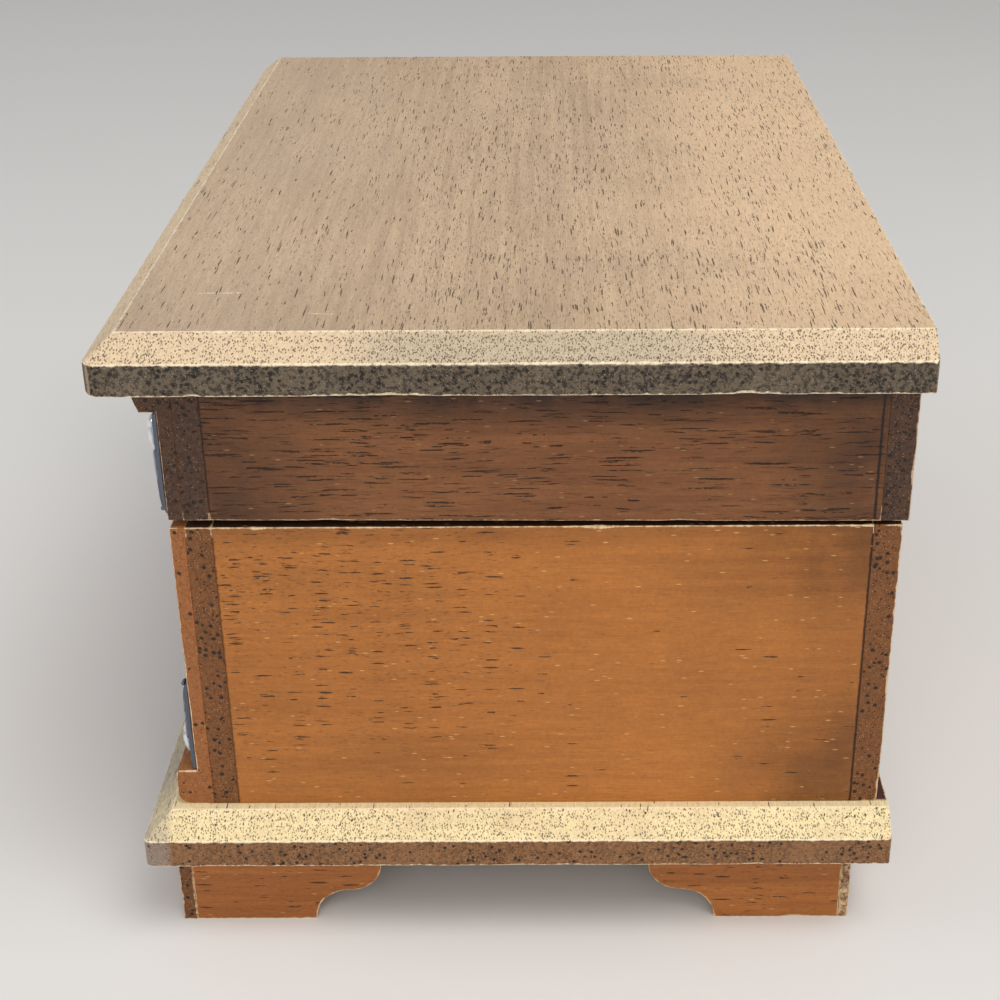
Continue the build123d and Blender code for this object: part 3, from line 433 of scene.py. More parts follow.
def jointLines(b, colour, y):
    ragged = b.times(b.minus(b.clouds(b.place, 1.4, 3, 0.6), 0.5), 0.5)
    for end, deep in ((-56.4, 0.4), (67.35, 0.12)):
        gap = b.size(b.plus(b.minus(y, end), ragged))
        colour = b.shadeBy(colour, b.fade(gap, 0.12, 0.4, deep, 1))
    return colour


# Colour hooks for each finish: real marks and joints, with painted light and shade
marksAndPaintedLight = {"lidBoard": lidMarksAndPaintedLight, "baseBoard": baseColourAndFrontShade, "bodyPanel": panelShadeAndJoints, "lidPanel": rimShadeAndJoints}


def woodMaterial(name):
    look = woodLooks[name]
    b = Brush(name)
    along = look["grain"]

    def grain(length, width):
        factors = [1 / width] * 3
        factors[along] = 1 / length
        return b.stretch(b.place, factors)

    streaks = b.clouds(grain(48, 1.7), 1, 5, 0.62, 0.4)
    broad = b.clouds(grain(90, 22), 1, 3, 0.55)
    fibre = b.clouds(grain(5, 0.22), 1, 2, 0.6)
    patch = b.clouds(b.place, 14, 4, 0.6)
    dust = b.clouds(b.place, 0.7, 4, 0.75)
    colour = b.mix(
        look["dark"], look["light"],
        b.fade(b.plus(streaks, b.times(b.minus(broad, 0.5), 0.8)), 0.22, 0.74)
    )

    # Which way the surface faces: the cut ends of the grain, and the bevels
    normal = b.split(b.coord.outputs["Normal"])
    endFacing = b.size(normal[along])
    ends = b.fade(endFacing, 0.80, 0.95)
    slope = b.fade(b.size(normal[2]), 0.45, 0.6)
    slope = b.times(slope, b.fade(b.size(normal[2]), 0.97, 0.9))
    colour = b.mix(colour, look["end"], b.times(ends, b.fade(patch, 0.2, 0.6, 0.85, 1.0)))
    colour = b.mix(colour, look["bevel"], b.times(slope, b.fade(patch, 0.25, 0.6, 0.7, 1.0)))
    if "side" in look:
        upright = b.times(b.fade(b.size(normal[2]), 0.4, 0.25), b.fade(endFacing, 0.9, 0.7)
        )
        colour = b.mix(colour, look["side"], b.times(upright, b.fade(patch, 0.2, 0.6, 0.8, 1.0)))
    mottle = b.fade(b.clouds(grain(3, 0.9), 1, 4, 0.75), 0.53, 0.44)
    mottle = b.times(b.times(mottle, b.fade(patch, 0.3, 0.6, 0.65, 1.0)),
        b.times(ends, look.get("mottle", 0.2))
    )
    colour = b.mix(colour, (0.014, 0.011, 0.009), mottle)
    share = b.fade(broad, 0.35, 0.62, look["poreShare"] * 0.55, look["poreShare"] * 1.25)
    if name in marksAndPaintedLight:
        colour, share = marksAndPaintedLight[name](b, colour, share)
    if name in ("bodyPanel", "caseBoard", "lidPanel", "lidBoardEnd"):
        # The faces that meet along the seam, painted near-black as shade in the gap between lid and body
        height = b.split(b.place)[2]
        seamGapShade = b.times(b.fade(b.size(normal[2]), 0.9, 0.98),
            b.times(b.fade(height, 92.2, 92.4), b.fade(height, 96.5, 96))
        )
        colour = b.mix(colour, (0.030, 0.013, 0.007), b.times(seamGapShade, 0.93))

    # Pores, long along the grain and round where it is cut across
    wander = b.clouds(grain(40, 12), 1, 2, 0.5)
    shift = b.node("ShaderNodeCombineXYZ")
    for index in range(3):
        if index != along:
            b.feed(shift.inputs[index], b.times(wander, 5.0))
    ripple = b.clouds(grain(1.6, 0.8), 1, 2, 0.6)
    crook = b.node("ShaderNodeCombineXYZ")
    for index in range(3):
        if index != along:
            b.feed(crook.inputs[index], b.times(ripple, 0.55))
    moved = b.offset(b.offset(b.place, shift.outputs[0]), crook.outputs[0])
    factors = [1 / look["poreSize"][1]] * 3
    factors[along] = 1 / look["poreSize"][0]
    distance, cell = b.spots(b.stretch(moved, factors), 1)
    size = b.calc("MULTIPLY_ADD", cell[0], 0.22, 0.2)
    pore = b.times(b.fade(distance, size, b.times(size, 0.55)),
        b.calc("LESS_THAN", cell[1], share)
    )
    fine, fineCell = b.spots(grain(look["poreSize"][0] * 0.4, 0.3), 1)
    fine = b.times(b.fade(fine, 0.3, 0.15),
        b.calc("LESS_THAN", fineCell[2], b.times(share, 1.1))
    )

    # Larger black dots and pale flecks in the end grain, specks on the bevels
    dotGap, dotCell = b.spots(grain(9, 1.35), 1)
    dotSize = b.calc("MULTIPLY_ADD", dotCell[0], 0.26, 0.16)
    dot = b.times(b.fade(dotGap, dotSize, b.times(dotSize, 0.6)),
        b.calc(
            "LESS_THAN", dotCell[1], b.fade(patch, 0.35, 0.62, look["dotShare"] * 0.25, look["dotShare"])
        )
    )
    dot = b.times(dot, ends)
    speckGap, speckCell = b.spots(grain(1.6, 0.36), 1)
    speck = b.times(b.fade(speckGap, 0.52, 0.25),
        b.calc("LESS_THAN", speckCell[0], b.fade(patch, 0.3, 0.7, 0.4, 0.9))
    )
    crossCut = b.most(ends, b.times(slope, b.fade(endFacing, 0.3, 0.6, 0.45, 1)))
    speck = b.times(b.times(speck, crossCut), look["speck"])
    fleckGap, fleckCell = b.spots(grain(2.4, 0.5), 1)
    fleck = b.times(b.fade(fleckGap, 0.3, 0.15),
        b.calc("LESS_THAN", fleckCell[2], b.fade(ends, 0, 1, 0.09, 0.34))
    )
    colour = b.shadeBy(colour, b.fade(dust, 0.25, 0.75, 0.88, 1.12))
    colour = b.mix(colour, look["fleck"], b.times(fleck, 0.5))
    colour = b.mix(colour, look["pore"], speck)
    colour = b.mix(colour, look["pore"], b.times(fine, 0.42))
    colour = b.mix(colour, look["pore"], b.times(pore, 0.9))
    colour = b.mix(colour, (0.012, 0.008, 0.006), b.times(dot, 0.92))
    colour = b.shadeBy(colour, b.fade(fibre, 0.2, 0.8, 0.86, 1.12))

    # Worn, pale edges
    edge = b.plus(b.attribute("wear"),
        b.times(b.minus(b.clouds(b.place, 1.3, 4, 0.65), 0.5), 1.1)
    )
    worn = b.fade(edge, 0.66, 1.0)
    colour = b.mix(colour, look["worn"], b.times(worn, 0.85))
    height = b.minus(b.times(fibre, 0.25),
        b.plus(pore, b.plus(dot, b.times(fine, 0.4)))
    )
    rough = b.fade(
        b.plus(patch, b.times(pore, 0.4)), 0.2, 0.9, look["rough"] - 0.1,
        look["rough"] + 0.16
    )
    b.shader.inputs["Specular IOR Level"].default_value = 0.34
    return b.finish(colour=colour, rough=rough, normal=b.bump(height, 0.13 * mm))


boards = {
    "lidTopBoard": {
        "node": "lid_top_board", "body": "lid", "seed": 11, "cornerRounds": (2.7, 0.5, 0.5, 1.8),
        "chips": (4.0, 0.8, 1.2)
    },
    "baseBoard": {
        "node": "base_board", "body": "case", "seed": 23, "cornerRounds": (1.6, 0.5, 0.5, 1.4),
        "chips": (4.5, 0.8, 0.8)
    },
}
boardShape = {"bevelRun": 5.3, "bevelDrop": 4.2, "step": 0.9, "edgeRound": 0.2, "wearWidth": 1.0}


def chip(point, seed, depth):
    spot = point / mm
    fine = noise.noise(spot * 0.55 + Vector((seed, 3.1, 0)))
    deep = noise.noise(spot * 0.13 + Vector((0, seed, 7.7)))
    ragged = noise.noise(spot * 1.6 + Vector((5.5, 0, seed)))
    return 0.55 * fine + 0.35 * ragged + depth * max(0.0, deep - 0.18) * (1.4 + fine)


def boardOutline(low, high, step):
    # One entry for each point round the board: a corner's number with its angle,
    # or how far along a side it is
    points = []
    corners = ((high[0], low[1]), (high[0], high[1]), (low[0], high[1]), (low[0], low[1]))
    for index in range(4):
        for turn in range(7):
            points.append((index, math.radians(-90 + 90 * index + 15 * turn), None))
        here, there = Vector(corners[index]), Vector(corners[(index + 1) % 4])
        count = int((there - here).length / (step * mm))
        for k in range(1, count):
            points.append((index, None, k / count))
    return points


def outlinePoint(entry, low, high, rounds, inset, backInset):
    index, angle, share = entry

    def cornerPoint(number, theta):
        radius = max(rounds[number] * mm - inset, 0.04 * mm)
        x = high[0] - inset - radius if number in (0, 1) else low[0] + inset + radius
        y = low[1] + inset + radius if number in (0, 3) else high[1] - backInset - radius
        return Vector((x + radius * math.cos(theta), y + radius * math.sin(theta)))

    if share is None:
        return cornerPoint(index, angle)
    start = cornerPoint(index, math.radians(90 * index))
    stop = cornerPoint((index + 1) % 4, math.radians(90 * index))
    return start.lerp(stop, share)


def makeBoard(name, material):
    board = boards[name]
    low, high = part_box(board["node"])
    run, drop = boardShape["bevelRun"] * mm, boardShape["bevelDrop"] * mm
    thick = high[2] - low[2]
    reach = boardShape["edgeRound"] * mm
    wide = boardShape["wearWidth"] * mm
    slope = Vector((run, drop)).normalized()
    arrises = [  # inset and height of each edge, the two directions away from it, and its chips
        (Vector((0, 0)), Vector((1, 0)), Vector((0, 1)), board["chips"][0]),
        (Vector((0, thick - drop)), Vector((0, -1)), slope, board["chips"][1]),
        (Vector((run, thick)), -slope, Vector((1, 0)), board["chips"][2]),
    ]
    rows = []  # inset and height, edge number, whether it is worn, and how much
    for number, (spot, before, after, _) in enumerate(arrises):
        rows.append((spot + before * wide, number, False, 0.0))
        rows.append((spot + before * reach, number, True, 0.8))
        rows.append((spot + (before + after) * reach * 0.3, number, True, 1.0))
        rows.append((spot + after * reach, number, True, 0.8))
        rows.append((spot + after * wide, number, False, 0.0))
    outline = boardOutline(low, high, boardShape["step"])
    rounds = board["cornerRounds"]
    mesh = bmesh.new()
    layer = mesh.verts.layers.float.new("wear")
    rings = []
    for spot, number, worn, wear in rows:
        edge, depth = arrises[number][0], arrises[number][3]
        ring = []
        for entry in outline:
            place = spot
            if worn:
                flat = outlinePoint(entry, low, high, rounds, edge.x, 0)
                grow = chip(Vector((flat.x, flat.y, low[2] + edge.y)), board["seed"] + number, depth)
                place = edge + (spot - edge) * max(0.35, min(1 + grow, 0.85 * wide / reach))
            back = place.x if number == 0 else max(0.0, place.x - run)
            flat = outlinePoint(entry, low, high, rounds, place.x, back)
            vert = mesh.verts.new((flat.x, flat.y, low[2] + place.y))
            onBack = entry[0] == 1 and (entry[2] is not None or entry[1] > 0)
            vert[layer] = 0.0 if number == 1 and onBack else wear
            ring.append(vert)
        rings.append(ring)
    count = len(outline)
    for first, second in zip(rings, rings[1:]):
        for k in range(count):
            mesh.faces.new((first[k], first[(k + 1) % count], second[(k + 1) % count], second[k]))
    mesh.faces.new(reversed(rings[0]))
    mesh.faces.new(rings[-1])
    bmesh.ops.triangulate(mesh, faces=[face for face in mesh.faces if len(face.verts) > 4])
    bmesh.ops.recalc_face_normals(mesh, faces=mesh.faces)
    piece = meshObject(name, mesh, material)
    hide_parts(board["node"])
    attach(piece, board["body"])
    return piece


def capLoop(node, axis):
    # The outline of the CAD piece's end face, as points in the two other axes
    mesh = bmesh.new()
    mesh.from_mesh(frame["nodes"][node].data)
    bmesh.ops.remove_doubles(mesh, verts=mesh.verts, dist=2e-6)
    top = max(vert.co[axis] for vert in mesh.verts)
    caps = {
        face
        for face in mesh.faces
        if face.normal[axis] > 0.99 and abs(face.calc_center_median()[axis] - top) < 1e-5
    }
    links = {}
    for face in caps:
        for loop in face.loops:
            if sum(other in caps for other in loop.edge.link_faces) == 1:
                links[loop.vert.index] = loop.link_loop_next.vert.index
    first, second = (axis + 1) % 3, (axis + 2) % 3
    places = {vert.index: Vector((vert.co[first], vert.co[second])) for vert in mesh.verts}
    low, high = min(vert.co[axis] for vert in mesh.verts), top
    mesh.free()
    start = next(iter(links))
    loop, here = [places[start]], links[start]
    while here != start:
        loop.append(places[here])
        here = links[here]
    return loop, low, high


def turnAt(loop, index):
    before = (loop[index] - loop[index - 1]).normalized()
    after = (loop[(index + 1) % len(loop)] - loop[index]).normalized()
    return math.degrees(math.atan2(before.x * after.y - before.y * after.x, before.dot(after)))


def plank(
    name, node, material, slot, axis=0, bevel=0.18, band=0.75, cut=1.3, seed=1, depth=3.0, free=None,
    joint=0.35, chips=1.0
):
    # The CAD piece again, with its edges rounded, worn and chipped. wear is 1 along its free edges
    loop, low, high = capLoop(node, axis)
    loop = [point for index, point in enumerate(loop) if (point - loop[index - 1]).length > 0.06 * mm]
    loop = [point for index, point in enumerate(loop) if abs(turnAt(loop, index)) > 0.4]
    size = len(loop)
    b, wide = bevel * mm, band * mm
    miters, corner = [], []
    for index in range(size):
        before = (loop[index] - loop[index - 1]).normalized()
        after = (loop[(index + 1) % size] - loop[index]).normalized()
        inward = Vector((-before.y - after.y, before.x + after.x))
        miters.append(inward / max(0.3, 1 + before.dot(after)))
        corner.append(abs(turnAt(loop, index)) > 25)
    samples = []  # segment, share along it, nearest corner, wear
    for index in range(size):
        following = (index + 1) % size
        length = (loop[following] - loop[index]).length
        samples.append((index, 0.0, index if corner[index] else None, 1.0 if corner[index] else 0.0))
        stops = []
        if corner[index] and length > 3 * wide:
            stops += [(b, index, 0.8), (wide, None, 0.0)]
        inner = [
            spot
            for spot in (
                k * length / max(1, round(length / (cut * mm)))
                for k in range(1, max(1, round(length / (cut * mm))))
            )
            if 1.6 * wide < spot < length - 1.6 * wide
            or not (
                corner[index] or corner[following]
            )
        ]
        stops += [(spot, None, 0.0) for spot in inner]
        if corner[following] and length > 3 * wide:
            stops += [(length - wide, None, 0.0), (length - b, following, 0.8)]
        samples += [(index, spot / length, near, wear) for spot, near, wear in stops]
    span = high - low
    steps = max(1, round((span - 2 * wide) / (cut * mm)))
    rows = [(0, wide, 0, 0.0), (0, b, 0, 0.8), (0.3 * b, 0.3 * b, 0, 1.0), (b, 0, 0, 0.8)]
    if span > 3 * wide:
        rows += [(wide + (span - 2 * wide) * k / steps, 0, None, 0.0) for k in range(steps + 1)]
    rows += [
        (span - b, 0, span, 0.8), (span - 0.3 * b, 0.3 * b, span, 1.0), (span, b, span, 0.8),
        (span, wide, span, 0.0)
    ]

    def put(flat, along):
        place = [0.0, 0.0, 0.0]
        place[axis], place[(axis + 1) % 3], place[(axis + 2) % 3] = low + along, flat.x, flat.y
        return Vector(place)

    def spotAt(index, share, inset):
        start = loop[index] + miters[index] * inset
        following = (index + 1) % size
        return start.lerp(loop[following] + miters[following] * inset, share)

    most = 0.8 * band / bevel
    mesh = bmesh.new()
    layer = mesh.verts.layers.float.new("wear")
    rings = []
    for along, inset, end, rowWear in rows:
        ring = []
        for index, share, near, wear in samples:
            edgeSpot = put(spotAt(index, share, 0), along if end is None else end)
            open_ = free is None or free(edgeSpot / mm)
            t, e = along, inset
            if end is not None and rowWear > 0:
                grow = max(0.4, min(1 + (chip(edgeSpot, seed, depth) * chips if open_ else 0), most))
                t, e = end + (along - end) * grow, inset * grow
            flat = spotAt(index, share, e)
            if near is not None and end is None:
                ridge = put(loop[near], along)
                grow = max(0.4, min(1 + (chip(ridge, seed + 2.5, depth) * chips if open_ else 0), most))
                flat = loop[near] + (flat - loop[near]) * grow
                if share == 0.0:
                    flat = flat + miters[near] * 0.3 * b * grow
            vert = mesh.verts.new(put(flat, t))
            vert[layer] = max(wear, rowWear) * (1.0 if open_ else joint)
            if end is not None and rowWear == 0.0:
                vert[layer] = 0.0
            ring.append(vert)
        rings.append(ring)
    count = len(samples)
    for first, second in zip(rings, rings[1:]):
        for k in range(count):
            mesh.faces.new((first[k], first[(k + 1) % count], second[(k + 1) % count], second[k]))
    for ring in (rings[0], rings[-1]):
        for corners in geometry.tessellate_polygon([[vert.co for vert in ring]]):
            mesh.faces.new([ring[k] for k in corners])
    bmesh.ops.recalc_face_normals(mesh, faces=mesh.faces)
    piece = meshObject(name, mesh, material)
    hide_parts(node)
    return piece


def rideWith(piece, node):
    body = body_of(frame["nodes"][node])
    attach(piece, body[0] if isinstance(body, (list, tuple)) else body)


def makeWood():
    finishes = {name: woodMaterial(name) for name in woodLooks}
    makeBoard("lidTopBoard", finishes["lidBoard"])
    makeBoard("baseBoard", finishes["baseBoard"])
    print("bevelled boards")
    # piece, CAD node, finish, slot, axis of its length, seed, and where its edges are free
    pieces = (
        ("lidEndPanelRight", "lid_right_panel", "lidPanel", "case_wood", 0, 3, lambda p: p.z < 96),
        ("lidEndPanelLeft", "lid_left_panel", "lidPanel", "case_wood", 0, 4, lambda p: p.z < 96),
        ("bodyEndPanelRight", "body_right_panel", "bodyPanel", "case_wood", 0, 5, lambda p: p.z > 90),
        ("bodyEndPanelLeft", "body_left_panel", "bodyPanel", "case_wood", 0, 6, lambda p: p.z > 90),
        ("lidFrontBoard", "lid_front_board", "lidBoardEnd", "case_wood", 0, 7, lambda p: p.z < 96),
        ("lidBackBoard", "lid_back_board", "lidBoardEnd", "case_wood", 0, 8, lambda p: p.y > 70),
        ("bodyFrontBoard", "body_front_board", "caseBoard", "case_wood", 0, 9, lambda p: p.z > 90),
        ("bodyBackBoard", "body_back_board", "caseBoard", "case_wood", 0, 10, lambda p: p.y > 70),
        ("lidFrontOverlay", "lid_front_overlay", "lidBoardEnd", "overlay_wood", 0, 12, lambda p: p.y < -62),
        (
            "bodyFrontOverlay", "body_front_overlay", "overlayBoard", "overlay_wood", 0, 13,
            lambda p: p.y < -62
        ),
        ("footBoardFront", "foot_front", "caseBoard", "case_wood", 1, 14, lambda p: p.z < 18),
        ("footBoardBack", "foot_back", "caseBoard", "case_wood", 1, 15, lambda p: p.z < 18),
        ("footBoardRight", "foot_right", "footBoard", "case_wood", 0, 16, lambda p: p.z < 18),
        ("footBoardLeft", "foot_left", "footBoard", "case_wood", 0, 17, lambda p: p.z < 18),
    )
    for name, node, finish, slot, axis, seed, free in pieces:
        narrow = {"bevel": 0.14, "band": 0.4} if slot == "overlay_wood" else {}
        piece = plank(name, node, finishes[finish], slot, axis=axis, seed=seed, free=free, **narrow)
        if node in ("lid_back_board", "body_back_board"):
            cutNotches(piece)
        rideWith(piece, node)
    for node in ("foot_blocks", "cover_ledges", "start_block"):
        frame["nodes"][node].data.materials[0] = finishes["innerWood"]
    print("walls and feet")


def boxMesh(low, high):
    mesh = bmesh.new()
    bmesh.ops.create_cube(mesh, size=1)
    for vert in mesh.verts:
        vert.co = Vector([low[i] if vert.co[i] < 0 else high[i] for i in range(3)])
    return mesh


def applyModifiers(piece):
    graph = bpy.context.evaluated_depsgraph_get()
    data = bpy.data.meshes.new_from_object(piece.evaluated_get(graph))
    piece.modifiers.clear()
    piece.data = data


def cutNotches(piece):
    # Room for the hinge barrels in the outer face of the back boards
    barrel = {"reach": 1.6, "overhang": 0.3, "length": 24, "outward": 80}
    low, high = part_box("hinge_pins")
    middle = (low + high) / 2
    reach = barrel["reach"] * mm
    length = barrel["length"] * mm
    for side in (-1, 1):
        end = high.x if side > 0 else low.x
        span = sorted(
            (end + side * barrel["overhang"] * mm, end - side * (length + barrel["overhang"] * mm))
        )
        cutter = meshObject(
            "notchCutter",
            boxMesh(
                (span[0], middle.y - reach, middle.z - reach),
                (span[1], barrel["outward"] * mm, middle.z + reach),
            ),
        )
        change = piece.modifiers.new("notch", "BOOLEAN")
        change.object = cutter
        change.solver = "EXACT"
        applyModifiers(piece)
        bpy.data.objects.remove(cutter)


metalLooks = {
    # The silver's dull colour: tarnish in the hollows, darkened to navy as a painted reflection of dark
    # surroundings
    "mountSilver": {
        "clean": (0.86, 0.89, 0.94), "dull": (0.045, 0.052, 0.085), "rough": (0.12, 0.34), "grain": 1.6
    },
    "brass": {"clean": (0.76, 0.55, 0.24), "dull": (0.34, 0.21, 0.085), "rough": (0.22, 0.5), "grain": 2.4},
    "steel": {"clean": (0.60, 0.60, 0.61), "dull": (0.30, 0.28, 0.26), "rough": (0.22, 0.46), "grain": 2.0},
    "castMetal": {
        "clean": (0.50, 0.50, 0.51), "dull": (0.32, 0.31, 0.30), "rough": (0.42, 0.62), "grain": 0.8
    },
}


def metalMaterial(name):
    look = metalLooks[name]
    b = Brush(name)
    cloud = b.clouds(b.place, look["grain"], 5, 0.65)
    broad = b.clouds(b.place, look["grain"] * 5, 3, 0.5)
    fine = b.clouds(b.stretch(b.place, (1, 1, 6)), 0.35, 3, 0.6)
    tarnishAndDarkReflection = b.fade(b.plus(cloud, b.times(broad, 0.5)), 0.62, 0.98)
    if name == "mountSilver":
        # On the mounts the low relief takes the dull colour: tarnish in the hollows and painted dark
        # reflection
        relief = b.plus(b.attribute("relief"), b.times(b.minus(cloud, 0.5), 0.35)
        )
        tarnishAndDarkReflection = b.fade(relief, 0.55, 0.16)
    colour = b.mix(look["clean"], look["dull"], b.times(tarnishAndDarkReflection, 0.9))
    rough = b.fade(b.plus(tarnishAndDarkReflection, b.times(fine, 0.4)), 0.1, 1.2, *look["rough"])
    height = b.plus(b.times(fine, 0.4), cloud)
    b.shader.inputs["Metallic"].default_value = 1
    return b.finish(colour=colour, rough=rough, normal=b.bump(height, 0.025 * mm))


def clothMaterial(name, tone, deep, pitch=0.3, sheen=0.5):
    b = Brush(name)
    nap = b.clouds(b.place, 0.28, 3, 0.7)
    brushed = b.clouds(b.stretch(b.place, (0.4, 1, 1)), 7, 4, 0.55, 1.2)
    wear = b.clouds(b.place, 16, 3, 0.5)
    colour = b.mix(
        deep, tone,
        b.fade(b.plus(brushed, b.times(b.minus(wear, 0.5), 0.7)), 0.3, 0.72)
    )
    colour = b.shadeBy(colour, b.fade(nap, 0.25, 0.75, 0.72, 1.25))
    b.shader.inputs["Sheen Weight"].default_value = sheen
    b.shader.inputs["Sheen Roughness"].default_value = 0.35
    rough = b.fade(nap, 0.2, 0.8, 0.8, 0.98)
    return b.finish(
        colour=colour, rough=rough,
        normal=b.bump(b.plus(nap, b.times(brushed, 0.6)), pitch * mm)
    )


def mirrorMaterial():
    b = Brush("mirrorGlass")
    low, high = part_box("lid_mirror")
    middle = (low + high) / 2
    x, y, _ = b.split(b.offset(b.place, (-middle.x / mm, -middle.y / mm, 0)))
    reach = b.calc(
        "MINIMUM", b.minus((high.x - low.x) / 2 / mm, b.size(x)),
        b.minus((high.y - low.y) / 2 / mm, b.size(y))
    )
    blot, _ = b.spots(b.place, 2.2)
    bloom = b.clouds(b.place, 9, 5, 0.65)
    edge = b.times(b.fade(reach, 9, 1), b.fade(bloom, 0.45, 0.7))
    foxed = b.most(edge, b.times(b.fade(blot, 0.22, 0.08), b.fade(bloom, 0.58, 0.7)))
    colour = b.mix((0.86, 0.88, 0.88), (0.22, 0.20, 0.17), b.times(foxed, 0.75))
    b.shader.inputs["Metallic"].default_value = 1
    return b.finish(colour=colour, rough=b.fade(foxed, 0, 1, 0.02, 0.4))


def clearMaterial():
    b = Brush("clearCover")
    smear = b.clouds(b.place, 12, 4, 0.6)
    scratch = b.clouds(b.stretch(b.place, (1, 0.06, 1)), 0.5, 2, 0.5)
    colour = b.mix((0.94, 0.96, 0.95), (0.86, 0.88, 0.85), smear)
    b.shader.inputs["Transmission Weight"].default_value = 1
    b.shader.inputs["IOR"].default_value = 1.49
    return b.finish(colour=colour, rough=b.fade(b.plus(smear, scratch), 0.8, 1.4, 0.03, 0.16))


def plasticMaterial():
    b = Brush("darkPlastic")
    grain = b.clouds(b.place, 0.5, 3, 0.6)
    dust = b.clouds(b.place, 5, 4, 0.6)
    colour = b.mix((0.016, 0.015, 0.014), (0.075, 0.07, 0.062), b.fade(dust, 0.5, 0.8))
    return b.finish(
        colour=colour, rough=b.fade(dust, 0.3, 0.8, 0.32, 0.62), normal=b.bump(grain, 0.02 * mm)
    )


mount = {
    "size": 20.8, "arm": 20.2, "waist": 13.6, "plate": 0.7, "ribs": 7, "ribHeight": 0.75, "steps": 52,
    "turns": 132
}


def mountHeight(u, w, edge):
    # Relief over the plate, in millimetres, at a distance u and w from the mount's corner
    radius, angle = math.hypot(u, w), math.atan2(w, u)
    share = min(1.0, radius / edge)
    rib = abs(math.cos(angle * mount["ribs"] * 2))
    height = mount["plate"] + mount["ribHeight"] * rib ** 0.7 * math.sin(math.pi * min(1.0,
        share * 1.02)) ** 0.6
    bosses = (
        (5.3, 5.3, 4.3, 2.45), (13.2, 3.9, 2.6, 1.3), (3.9, 13.2, 2.6, 1.3), (18.0, 2.6, 1.7, 0.7),
        (2.6, 18.0, 1.7, 0.7)
    )
    for x, z, size, rise in bosses:
        gap = math.hypot(u - x, w - z) / size
        if gap < 1:
            petals = 0.76 + 0.24 * abs(math.cos(3 * math.atan2(w - z, u - x)))
            height = max(height, mount["plate"] + rise * petals * math.sqrt(1 - gap * gap))
        elif gap < 1.28:
            height = min(height, mount["plate"] + 0.25)
    return height * min(1.0, 0.45 + (1 - share) * 9)


def mountEdge(angle):
    arms = abs(math.cos(2 * angle)) ** 1.6
    scallop = 0.45 * abs(math.sin(angle * mount["ribs"] * 2))
    radius = mount["waist"] + (mount["arm"] - mount["waist"]) * arms + scallop
    return min(radius, mount["size"] / max(math.cos(angle), math.sin(angle)))


def makeMount(name, node, material):
    low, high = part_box(node)
    left, onLid = "left" in node, node.startswith("lid")
    cornerX = low.x if left else high.x
    cornerZ = high.z if onLid else low.z
    sideX, sideZ = (1 if left else -1), (-1 if onLid else 1)
    mesh = bmesh.new()
    relief = mesh.verts.layers.float.new("relief")

    def put(u, w, rise):
        vert = mesh.verts.new((cornerX + sideX * u * mm, high.y - rise * mm, cornerZ + sideZ * w * mm))
        vert[relief] = max(0.0, (rise - 0.5) / 2.6)
        return vert

    corner = put(0, 0, 0.6)
    rows = []
    for j in range(mount["turns"] + 1):
        angle = math.pi / 2 * j / mount["turns"]
        edge = mountEdge(angle)
        row = []
        for i in range(1, mount["steps"] + 1):
            radius = edge * i / mount["steps"]
            u, w = radius * math.cos(angle), radius * math.sin(angle)
            sunk = min(1.0, min(u, w) / 0.5 + 0.6) if i < mount["steps"] else 0.6
            row.append(put(u, w, mountHeight(u, w, edge) * sunk))
        rows.append(row)
    for first, second in zip(rows, rows[1:]):
        mesh.faces.new((corner, first[0], second[0]))
        for i in range(mount["steps"] - 1):
            mesh.faces.new((first[i], first[i + 1], second[i + 1], second[i]))
    rim = [corner] + rows[0] + [row[-1] for row in rows[1:-1]] + list(reversed(rows[-1]))
    under = [mesh.verts.new((vert.co.x, high.y, vert.co.z)) for vert in rim]
    for k in range(len(rim)):
        following = (k + 1) % len(rim)
        mesh.faces.new((rim[k], under[k], under[following], rim[following]))
    for corners in geometry.tessellate_polygon([[vert.co for vert in under]]):
        mesh.faces.new([under[k] for k in corners])
    bmesh.ops.recalc_face_normals(mesh, faces=mesh.faces)
    for face in mesh.faces:
        face.smooth = True
    piece = meshObject(name, mesh, material)
    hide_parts(node)
    rideWith(piece, node)
    path = []
    for j in range(3, 88):
        angle = math.radians(j)
        radius = mountEdge(angle) - 0.75
        path.append(
            (
                cornerX + sideX * radius * math.cos(angle) * mm, high.y - 1.0 * mm,
                cornerZ + sideZ * radius * math.sin(angle) * mm
            )
        )
    return path


